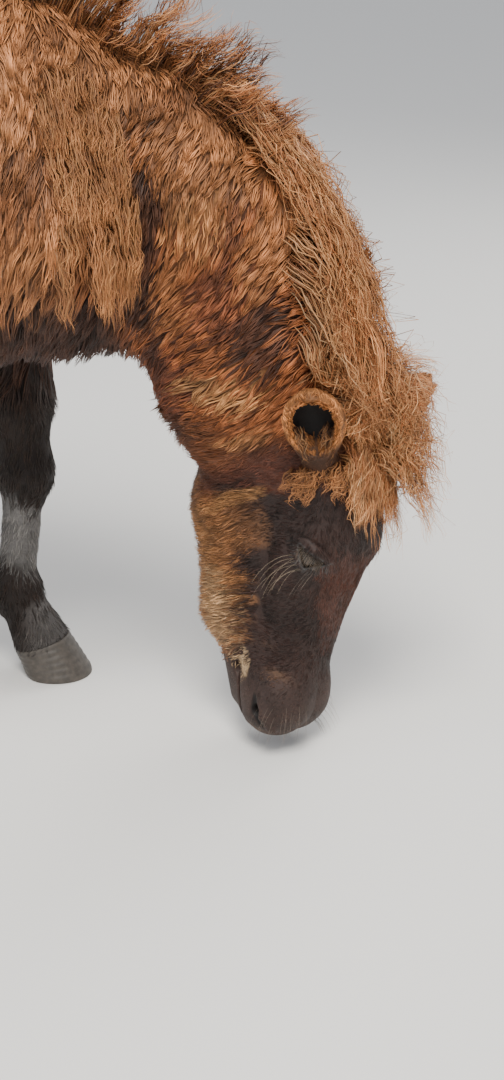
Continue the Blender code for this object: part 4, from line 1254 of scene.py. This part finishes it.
def make_ear(side, name, fur):
    """One ear: its cup, the short fur on it, its thick rim and the wisps inside it."""
    base, axis, opening, width = EARS[side]
    middle = base + axis * 0.04
    reach = 0.066

    def cup_depth(points):
        e = ear_local(points, side)
        return egg(e, (0.052, 0, 0.021), (0.036, 0.0260, 0.031))

    def paint(points):
        e = ear_local(points, side)
        inside = fade(1.6 - cup_depth(points) / 0.003) * fade((0.005 - e[:, 2]) / 0.005)
        colour = plain(EAR_TAN, len(points)) * (1 + 0.2 * ripple(points, 200, 4))[:, None]
        # Inside the cup: painted shade.
        colour = blend_to(colour, EAR_CUP_SHADE, inside)
        # Darker towards the base: painted shade.
        return blend_to(colour, DARK, fade((0.026 - e[:, 0]) / 0.014) * 0.85)

    def way(points, normals):
        e = ear_local(points, side)
        flow = np.array(axis) + 0.35 * np.sign(e[:, 1:2]) * np.array(width)
        flow = flow - normals * np.sum(flow * normals, axis=1, keepdims=True)
        return unit(flow)

    def place(points, normals):
        return np.array((0.004 if side > 0 else 0.504, 7.004 / CHART_ROWS)) + 0.45 * np.stack(
            [np.clip((points[:, 1] - base.y + 0.1) / 0.2, 0, 1),
             np.clip((points[:, 2] - base.z + 0.1) / 0.2, 0, 1) * 0.25], 1)

    axes = [np.arange(middle[k] - reach, middle[k] + reach, 0.0014) for k in range(3)]
    thing = polygonise("ear_" + name, lambda p: ear(p, side) + 0.0015, axes, 14000)
    points, triangles, normals = arrays(thing.data)
    give(thing.data, {"mark": paint(points)})
    bake_map(thing.data, place(points, normals)[triangles.ravel()])
    thing.data.materials.append(bpy.data.materials["skin"])

    def outside(p):
        return fade((cup_depth(p) - 0.0025) / 0.002) + 0.01

    def rim(p):
        return fade(1.4 - np.abs(cup_depth(p)) / 0.003) * fade((ear_local(p, side)[:, 2] + 0.001) / 0.005)

    def tan_tips(p):
        return paint(p) * 0.3 + np.array(EAR_TAN) * 1.05

    coat("ear_fur_" + name, (points, triangles, normals), 3000, outside, 2, 0.0007, 26, 0.0, 0.45, 31, fur,
         way, lambda p: np.full(len(p), 0.011), paint, place)
    coat("ear_rim_" + name, (points, triangles, normals), 1800, rim, 3, 0.0006, 50, 0.0, 0.50, 32, fur,
         way, lambda p: np.full(len(p), 0.013), tan_tips, place)
    chance = random.Random(33)
    guides = []
    for _ in range(36):
        e = (chance.uniform(0.014, 0.050), chance.choice((-1, 1)) * chance.uniform(0.012, 0.023))
        start = base + axis * e[0] + width * e[1] + opening * 0.002
        aim = opening * 0.9 - axis * chance.uniform(0.1, 0.8) - width * e[1] * 20
        guides.append((start, aim.normalized(), chance.uniform(0.014, 0.030), chance.uniform(0.0, 0.15)))
    lines, sides = bent_hairs(*zip(*guides), 7)
    hairs, sides = wisps(lines, sides, 9, 0.0035, 0.0022, 0.022, 34)
    pick = np.random.default_rng(35).random(len(hairs))
    # Most wisps go dark: painted shade inside the cup.
    colours = blend_to(plain(EAR_TAN, len(hairs)), EAR_CUP_SHADE, fade((0.70 - pick) / 0.2) * 0.9)
    colours = blend_to(colours, CREAM, fade((pick - 0.80) / 0.1) * 0.6)
    widths = np.full(len(hairs), 0.0004)
    hair_pieces("ear_wisps_" + name, hairs, sides, widths, colours, place(hairs[:, 0], sides[:, 0]), fur,
                0.8)
    settle(thing)
    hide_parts("ear_" + name)


# Eyes.
def make_eye(side, name, shade):
    bm = bmesh.new()
    bmesh.ops.create_uvsphere(bm, u_segments=64, v_segments=40, radius=EYE_R - 0.0002)
    bmesh.ops.transform(bm, matrix=Matrix.Translation(eye_centre(side)), verts=bm.verts)
    thing = from_bmesh("eye_" + name, bm)
    thing.data.shade_smooth()
    thing.data.materials.append(shade)
    settle(thing)
    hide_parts("eye_" + name)


def bent_hairs(roots, headings, lengths, droop, steps):
    """Stiff hairs that start along a heading and bend down."""
    points = np.array(roots, float)
    heading = unit(np.array(headings, float))
    stride = np.array(lengths)[:, None] / steps
    lines = [points]
    for _ in range(steps):
        heading = unit(heading + np.array((0, 0, -1)) * np.array(droop)[:, None])
        points = points + heading * stride
        lines.append(points)
    lines = np.stack(lines, 1)
    aside = np.cross(np.gradient(lines, axis=1), np.array((0.3, -0.2, 1.0)))
    return lines, unit(aside)


def eye_point(side, along_lid, over, outwards):
    lids_way, up, out = eye_axes(side)
    return eye_centre(side) + lids_way * along_lid + up * over + out * outwards


LASH = (0.15, 0.115, 0.085)
LONG_LASH = (0.46, 0.36, 0.25)
LID_HAIR = (0.34, 0.28, 0.22)
WHISKER = (0.28, 0.22, 0.17)
LASH_WIDTH = 0.00022
WHISKER_WIDTH = 0.00018


def make_lashes(fur):
    """Lashes, the long hairs below the eyes, and the whiskers of the muzzle."""
    chance = random.Random(41)
    hairs = []
    for side in (1, -1):
        lids_way, up, out = eye_axes(side)
        for i in range(90):
            u = -0.015 + 0.032 * (i + chance.random()) / 90
            root = eye_point(side, u, LID_EDGE + 0.0010, 0.0215 - 26 * u * u)
            aim = out * 0.45 - up * 0.95 - lids_way * chance.uniform(-0.15, 0.40)
            hairs.append((root, aim, chance.uniform(0.010, 0.018), 0.10, LASH, LASH_WIDTH))
        for i in range(9):
            root = eye_point(side, -0.012 + 0.016 * i / 8, -0.010 - 0.010 * i / 8, 0.009)
            aim = out * 0.50 - up * 0.25 - lids_way * chance.uniform(0.3, 1.1)
            hairs.append((root, aim, chance.uniform(0.045, 0.075), 0.22, LONG_LASH, LASH_WIDTH))
        for i in range(3):
            root = eye_point(side, 0.016 - 0.003 * i, -0.004 - 0.003 * i, 0.010)
            aim = out * 0.3 - up * 0.9 - lids_way * 0.3
            hairs.append((root, aim, chance.uniform(0.040, 0.055), 0.10, LID_HAIR, LASH_WIDTH))
        for i in range(26):
            start = from_head(chance.uniform(0.310, 0.350), chance.uniform(-0.010, 0.034), 0)
            aim = (LEFT * side * 0.9 + FRONT * chance.uniform(-0.2, 0.9) + DOWN * 0.2).normalized()
            root = surface_point(start, aim, 0.10) - aim * 0.005
            hairs.append((root, aim + DOWN * 0.5, chance.uniform(0.018, 0.036), 0.12, WHISKER, WHISKER_WIDTH))
    roots, headings, lengths, droop, colours, widths = zip(*hairs)
    lines, normals = bent_hairs(roots, headings, lengths, droop, 8)
    hair_pieces("lashes_and_whiskers", lines, normals, np.array(widths), np.array(colours),
                chart(lines[:, 0], normals[:, 0]), fur, 1.0)


def make_hooves(shade):
    """Hooves with the rings that their horn grows in."""
    sides, levels = 72, 26
    turns = [2 * math.pi * i / sides for i in range(sides)]
    for name, (foot_x, foot_y) in STANCE.items():
        bm = bmesh.new()
        rings = []
        for k in range(levels + 1):
            share = k / levels
            rings.append([])
            for turn in turns:
                place = hoof_ring(foot_x, foot_y, share, turn)
                middle = Vector((foot_x + HOOF_FORWARD, foot_y, place.z))
                groove = 0.0005 * math.sin(38 * share + 0.6 * math.sin(turn)) + 0.0012 * (share < 0.02)
                rings[-1].append(bm.verts.new(place - (place - middle).normalized() * (0.0008 + groove)))
        for lower, upper in zip(rings, rings[1:]):
            for i in range(sides):
                j = (i + 1) % sides
                bm.faces.new((lower[i], lower[j], upper[j], upper[i]))
        bm.faces.new(reversed(rings[0]))
        bm.faces.new(rings[-1])
        bmesh.ops.triangulate(bm, faces=[face for face in bm.faces if len(face.verts) > 4])
        thing = from_bmesh("horn_" + name, bm)
        thing.data.shade_smooth()
        thing.data.set_sharp_from_angle(angle=math.radians(50))
        thing.data.materials.append(shade)
        settle(thing)
        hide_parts("hoof_" + name)


TAIL_CORE_DEPTH = 0.010   # of the hair over the core
TAIL_CORE_END = 0.31      # below this there is only hair


def make_tail(hair):
    """The tail's core and the hair that hangs over it."""
    def field(points):
        return np.maximum(tail_core(points) + TAIL_CORE_DEPTH, TAIL_CORE_END - points[:, 2])

    axes = [np.arange(-0.86, -0.70, 0.004), np.arange(-0.07, 0.08, 0.004), np.arange(0.23, 0.79, 0.004)]
    core = polygonise("tail_core", field, axes, 9000)
    points = arrays(core.data)[0]
    give(core.data, {"mark": plain(MANE_DARK, len(points))})
    core.data.materials.append(bpy.data.materials["skin"])
    settle(core)
    guides = tail_guides(100, random.Random(51))
    long_hair("tail_hair", guides, 16, 0.012, 0.004, 0.110, 52, hair, 0.0009, tail_colour)
    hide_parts("tail")


# Materials.
def shader(name, roughness, specular=0.3):
    made = bpy.data.materials.new(name)
    made.use_nodes = True
    surface = made.node_tree.nodes["Principled BSDF"]
    surface.inputs["Roughness"].default_value = roughness
    surface.inputs["Specular IOR Level"].default_value = specular
    return made, made.node_tree.nodes, made.node_tree.links, surface


def attribute(nodes, name):
    node = nodes.new("ShaderNodeAttribute")
    node.attribute_name = name
    return node


def noise(nodes, links, scale, detail=4.0, stretch=(1, 1, 1)):
    place = nodes.new("ShaderNodeTexCoord")
    mapping = nodes.new("ShaderNodeMapping")
    mapping.inputs["Scale"].default_value = stretch
    links.new(place.outputs["Object"], mapping.inputs["Vector"])
    node = nodes.new("ShaderNodeTexNoise")
    node.inputs["Scale"].default_value = scale
    node.inputs["Detail"].default_value = detail
    links.new(mapping.outputs["Vector"], node.inputs["Vector"])
    return node


def ramp(nodes, links, source, stops):
    """Values between two stops' inputs turned to values between their outputs."""
    node = nodes.new("ShaderNodeMapRange")
    node.inputs["From Min"].default_value = stops[0][0]
    node.inputs["From Max"].default_value = stops[1][0]
    node.inputs["To Min"].default_value = stops[0][1]
    node.inputs["To Max"].default_value = stops[1][1]
    links.new(source, node.inputs["Value"])
    return node.outputs["Result"]


def times(nodes, links, *factors):
    out = factors[0]
    for factor in factors[1:]:
        node = nodes.new("ShaderNodeMath")
        node.operation = "MULTIPLY"
        links.new(out, node.inputs[0])
        links.new(factor, node.inputs[1])
        out = node.outputs[0]
    return out


def scaled_colour(nodes, links, colour, factor):
    node = nodes.new("ShaderNodeVectorMath")
    node.operation = "SCALE"
    links.new(colour, node.inputs[0])
    links.new(factor, node.inputs["Scale"])
    return node.outputs[0]


def hair_shader(name, root_shade, tip_shade, roughness=0.55):
    """Hair that is darker at its root, as painted shade deep in the coat, paler at its tip, and a little
    different from its neighbours.
    """
    made, nodes, links, surface = shader(name, roughness, 0.35)
    place = attribute(nodes, "along").outputs["Fac"]
    # Darker towards the root: painted shade deep among the hairs.
    along_hair = ramp(nodes, links, place, ((0, root_shade), (1, tip_shade)))
    tint = ramp(nodes, links, attribute(nodes, "tint").outputs["Fac"], ((0, 0.72), (1, 1.25)))
    patches = ramp(nodes, links, noise(nodes, links, 28).outputs["Fac"], ((0.3, 0.78), (0.7, 1.20)))
    factor = times(nodes, links, along_hair, tint, patches)
    colour = scaled_colour(nodes, links, attribute(nodes, "mark").outputs["Color"], factor)
    links.new(colour, surface.inputs["Base Color"])
    return made


def skin_shader():
    """Skin and its flat fur: the coat's markings, darkened as painted shade deep in the coat, with fine
    streaks and bump.
    """
    made, nodes, links, surface = shader("skin", 0.62, 0.3)
    streaks = noise(nodes, links, 420, 3.0)
    # Darker than the coat: painted shade in the gaps between the hairs.
    shade = ramp(nodes, links, streaks.outputs["Fac"], ((0.3, 0.30), (0.7, 0.60)))
    patches = ramp(nodes, links, noise(nodes, links, 28).outputs["Fac"], ((0.3, 0.8), (0.7, 1.2)))
    colour = scaled_colour(nodes, links, attribute(nodes, "mark").outputs["Color"],
                           times(nodes, links, shade, patches))
    links.new(colour, surface.inputs["Base Color"])
    bump = nodes.new("ShaderNodeBump")
    bump.inputs["Strength"].default_value = 0.35
    bump.inputs["Distance"].default_value = 0.001
    links.new(streaks.outputs["Fac"], bump.inputs["Height"])
    links.new(bump.outputs["Normal"], surface.inputs["Normal"])
    return made


def plain_shader(name, colour, roughness, bump_scale=0, coat_weight=0.0, specular=0.5):
    made, nodes, links, surface = shader(name, roughness, specular)
    tone = nodes.new("ShaderNodeRGB")
    tone.outputs[0].default_value = (*colour, 1)
    spread = noise(nodes, links, bump_scale or 90)
    factor = ramp(nodes, links, spread.outputs["Fac"], ((0.3, 0.7), (0.7, 1.25)))
    links.new(scaled_colour(nodes, links, tone.outputs[0], factor), surface.inputs["Base Color"])
    surface.inputs["Coat Weight"].default_value = coat_weight
    surface.inputs["Coat Roughness"].default_value = 0.05
    if bump_scale:
        bump = nodes.new("ShaderNodeBump")
        bump.inputs["Strength"].default_value = 0.4
        bump.inputs["Distance"].default_value = 0.0008
        links.new(spread.outputs["Fac"], bump.inputs["Height"])
        links.new(bump.outputs["Normal"], surface.inputs["Normal"])
    return made


def make_skin():
    """One skin for head, neck, torso, tail root and legs, finest at the face."""
    axes = (uneven(-0.80, 0.22, 0.485, 0.50, 0.0018, 0.006),
            uneven(-0.23, -0.09, 0.10, 0.23, 0.0018, 0.006),
            uneven(-0.01, 0.0, 0.34, 0.90, 0.0018, 0.006))
    thing = polygonise("skin", skin_field, axes, 300000)
    points, triangles, normals = arrays(thing.data)
    give(thing.data, {"mark": markings_and_painted_light(points)})
    corners = triangles.ravel()
    a, b, c = (points[triangles[:, k]] for k in range(3))
    facing = np.repeat(unit(np.cross(b - a, c - a)), 3, axis=0)
    middle = np.repeat((a + b + c) / 3, 3, axis=0)
    bake_map(thing.data, chart(points[corners], facing, middle))
    thing.data.materials.append(skin_shader())
    return thing, (points, triangles, normals)


def right_front(points):
    """1 on the pony's right shoulder and neck, 0 on its left and behind."""
    return fade((0.03 - points[:, 1]) / 0.03) * fade((points[:, 0] + 0.20) / 0.15)


def above_legs(points):
    return (1 - on_head(points)) * fade((points[:, 2] - 0.36) / 0.04)


def near_body(points):
    return above_legs(points) * right_front(points)


def far_body(points):
    return above_legs(points) * (1 - right_front(points))


def head_only(points):
    return on_head(points) * (1 - bare(points))


def jaw_only(points):
    m = mirrored(points)
    return on_head(points) * fade((-0.020 - m[:, 1]) / 0.04) * fade((0.31 - m[:, 0]) / 0.03)


def legs_only(points):
    return (1 - on_head(points)) * fade((0.42 - points[:, 2]) / 0.04)


def make_camera():
    """The photo's view: from the pony's right front, 23 degrees down."""
    camera = linked("camera", bpy.data.cameras.new("camera"))
    turn, tilt = math.radians(17), math.radians(23)
    aim = Vector((-math.sin(turn) * math.cos(tilt), math.cos(turn) * math.cos(tilt), -math.sin(tilt)))
    camera.location = Vector((0.8019, -1.6463, 0.9761)) - ORIGIN
    camera.rotation_euler = aim.to_track_quat("-Z", "Y").to_euler()
    camera.data.lens = 56.667
    camera.data.sensor_width = 36
    camera.data.clip_start = 0.05
    camera.data.clip_end = 200
    bpy.context.scene.camera = camera


def area_light(name, place, aim, size, power, colour):
    light = bpy.data.lights.new(name, "AREA")
    light.size = size
    light.energy = power
    light.color = colour
    thing = linked(name, light)
    thing.location = place
    thing.rotation_euler = (Vector(aim) - Vector(place)).to_track_quat("-Z", "Y").to_euler()


def make_stage():
    bm = bmesh.new()
    bmesh.ops.create_grid(bm, x_segments=1, y_segments=1, size=60)
    floor = from_bmesh("floor", bm)
    floor.location.z = -0.0005
    made, _, _, surface = shader("floor", 0.9, 0.1)
    surface.inputs["Base Color"].default_value = (0.78, 0.77, 0.74, 1)
    floor.data.materials.append(made)
    world = bpy.data.worlds.new("studio")
    bpy.context.scene.world = world
    world.use_nodes = True
    world.node_tree.nodes["Background"].inputs["Color"].default_value = (0.90, 0.93, 1.0, 1)
    world.node_tree.nodes["Background"].inputs["Strength"].default_value = 0.75
    area_light("key", (1.0, -1.6, 3.2), (0.25, 0, 0.5), 1.4, 165, (1.0, 0.96, 0.90))
    area_light("fill", (-2.2, -1.8, 1.8), (0.1, 0, 0.5), 2.0, 25, (0.95, 0.97, 1.0))
    area_light("back", (1.2, 2.4, 2.2), (0.2, 0, 0.5), 1.5, 40, (1.0, 0.97, 0.92))


# Coats: name, number of hairs, where they grow, steps, half width, lift in degrees, droop, clumping,
# seed, how far back along the hair its colour is read, contrast, and depth of the roots in the skin.
COATS = (
    ("coat_near", 22000, near_body, 3, 0.0010, 17, 0.10, 0.72, 21, 0.030, 0.40, 0.0015),
    ("coat_far", 20000, far_body, 2, 0.0019, 17, 0.10, 0.60, 24, 0.030, 0.36, 0.0015),
    ("coat_head", 38000, head_only, 1, 0.0006, 15, 0.00, 0.30, 22, 0.012, 0.42, 0.0004),
    ("coat_jaw", 7000, jaw_only, 2, 0.0006, 36, 0.02, 0.50, 25, 0.020, 0.26, 0.0015),
    ("coat_legs", 26000, legs_only, 1, 0.0010, 15, 0.00, 0.35, 23, 0.020, 0.28, 0.0004),
)
# Long hair: name, guides, their number, seed, hairs for each, spread, size and length of the curls,
# half width of a hair, colour and slot.
LONG_HAIR = (
    ("mane_hair", crest_guides, 190, 61, 14, 0.014, 0.0065, 0.050, 0.0008, mane_colour, "mane"),
    ("poll_hair", poll_guides, 84, 72, 12, 0.015, 0.0070, 0.045, 0.0006, mane_colour, "mane"),
    ("withers_hair", withers_guides, 110, 63, 19, 0.014, 0.0045, 0.060, 0.0006, withers_colour, "mane"),
    ("forelock_hair", forelock_guides, 60, 65, 13, 0.008, 0.0045, 0.045, 0.0006, mane_colour, "mane"),
    ("temple_hair", temple_guides, 34, 68, 10, 0.006, 0.0028, 0.020, 0.0005, temple_colour, "coat"),
    ("shoulder_hair", shoulder_guides, 120, 70, 13, 0.012, 0.0020, 0.050, 0.0005, shoulder_colour, "coat"),
    ("fetlock_hair", feather_guides, 18, 67, 10, 0.005, 0.0010, 0.040, 0.0005, feather_colour, "coat"),
)
SIDES = ((1, "left"), (-1, "right"))


def main():
    make_camera()
    make_stage()
    skin, surface = make_skin()
    shades = {"coat": hair_shader("coat", 0.30, 1.40), "mane": hair_shader("mane", 0.50, 1.25, 0.45)}
    fur = shades["coat"]
    more = 1.0
    for name, count, weight, steps, width, lift, droop, clump, seed, upstream, contrast, sink in COATS:
        coat(name, surface, int(count * more), weight, steps, width, lift, droop, clump, seed, fur,
             upstream=upstream, contrast=contrast, sink=sink, above_skin=steps > 1)
    for name, guides, count, seed, each, spread, curl, wave, width, colour, slot in LONG_HAIR:
        lines = guides(count, random.Random(seed))
        long_hair(name, lines, each, spread, curl, wave, seed + 1, shades[slot], width, colour)
    for side, name in SIDES:
        make_ear(side, name, fur)
    glossy = plain_shader("eye", (0.006, 0.004, 0.003), 0.20, 0, 0.35, 0.25)
    for side, name in SIDES:
        make_eye(side, name, glossy)
    make_lashes(fur)
    make_hooves(plain_shader("hoof", (0.070, 0.060, 0.050), 0.45, 160))
    make_tail(shades["mane"])
    settle(skin)
    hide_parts("torso", "neck", "head", "leg_fore_left", "leg_fore_right", "leg_hind_left",
                "leg_hind_right")


main()
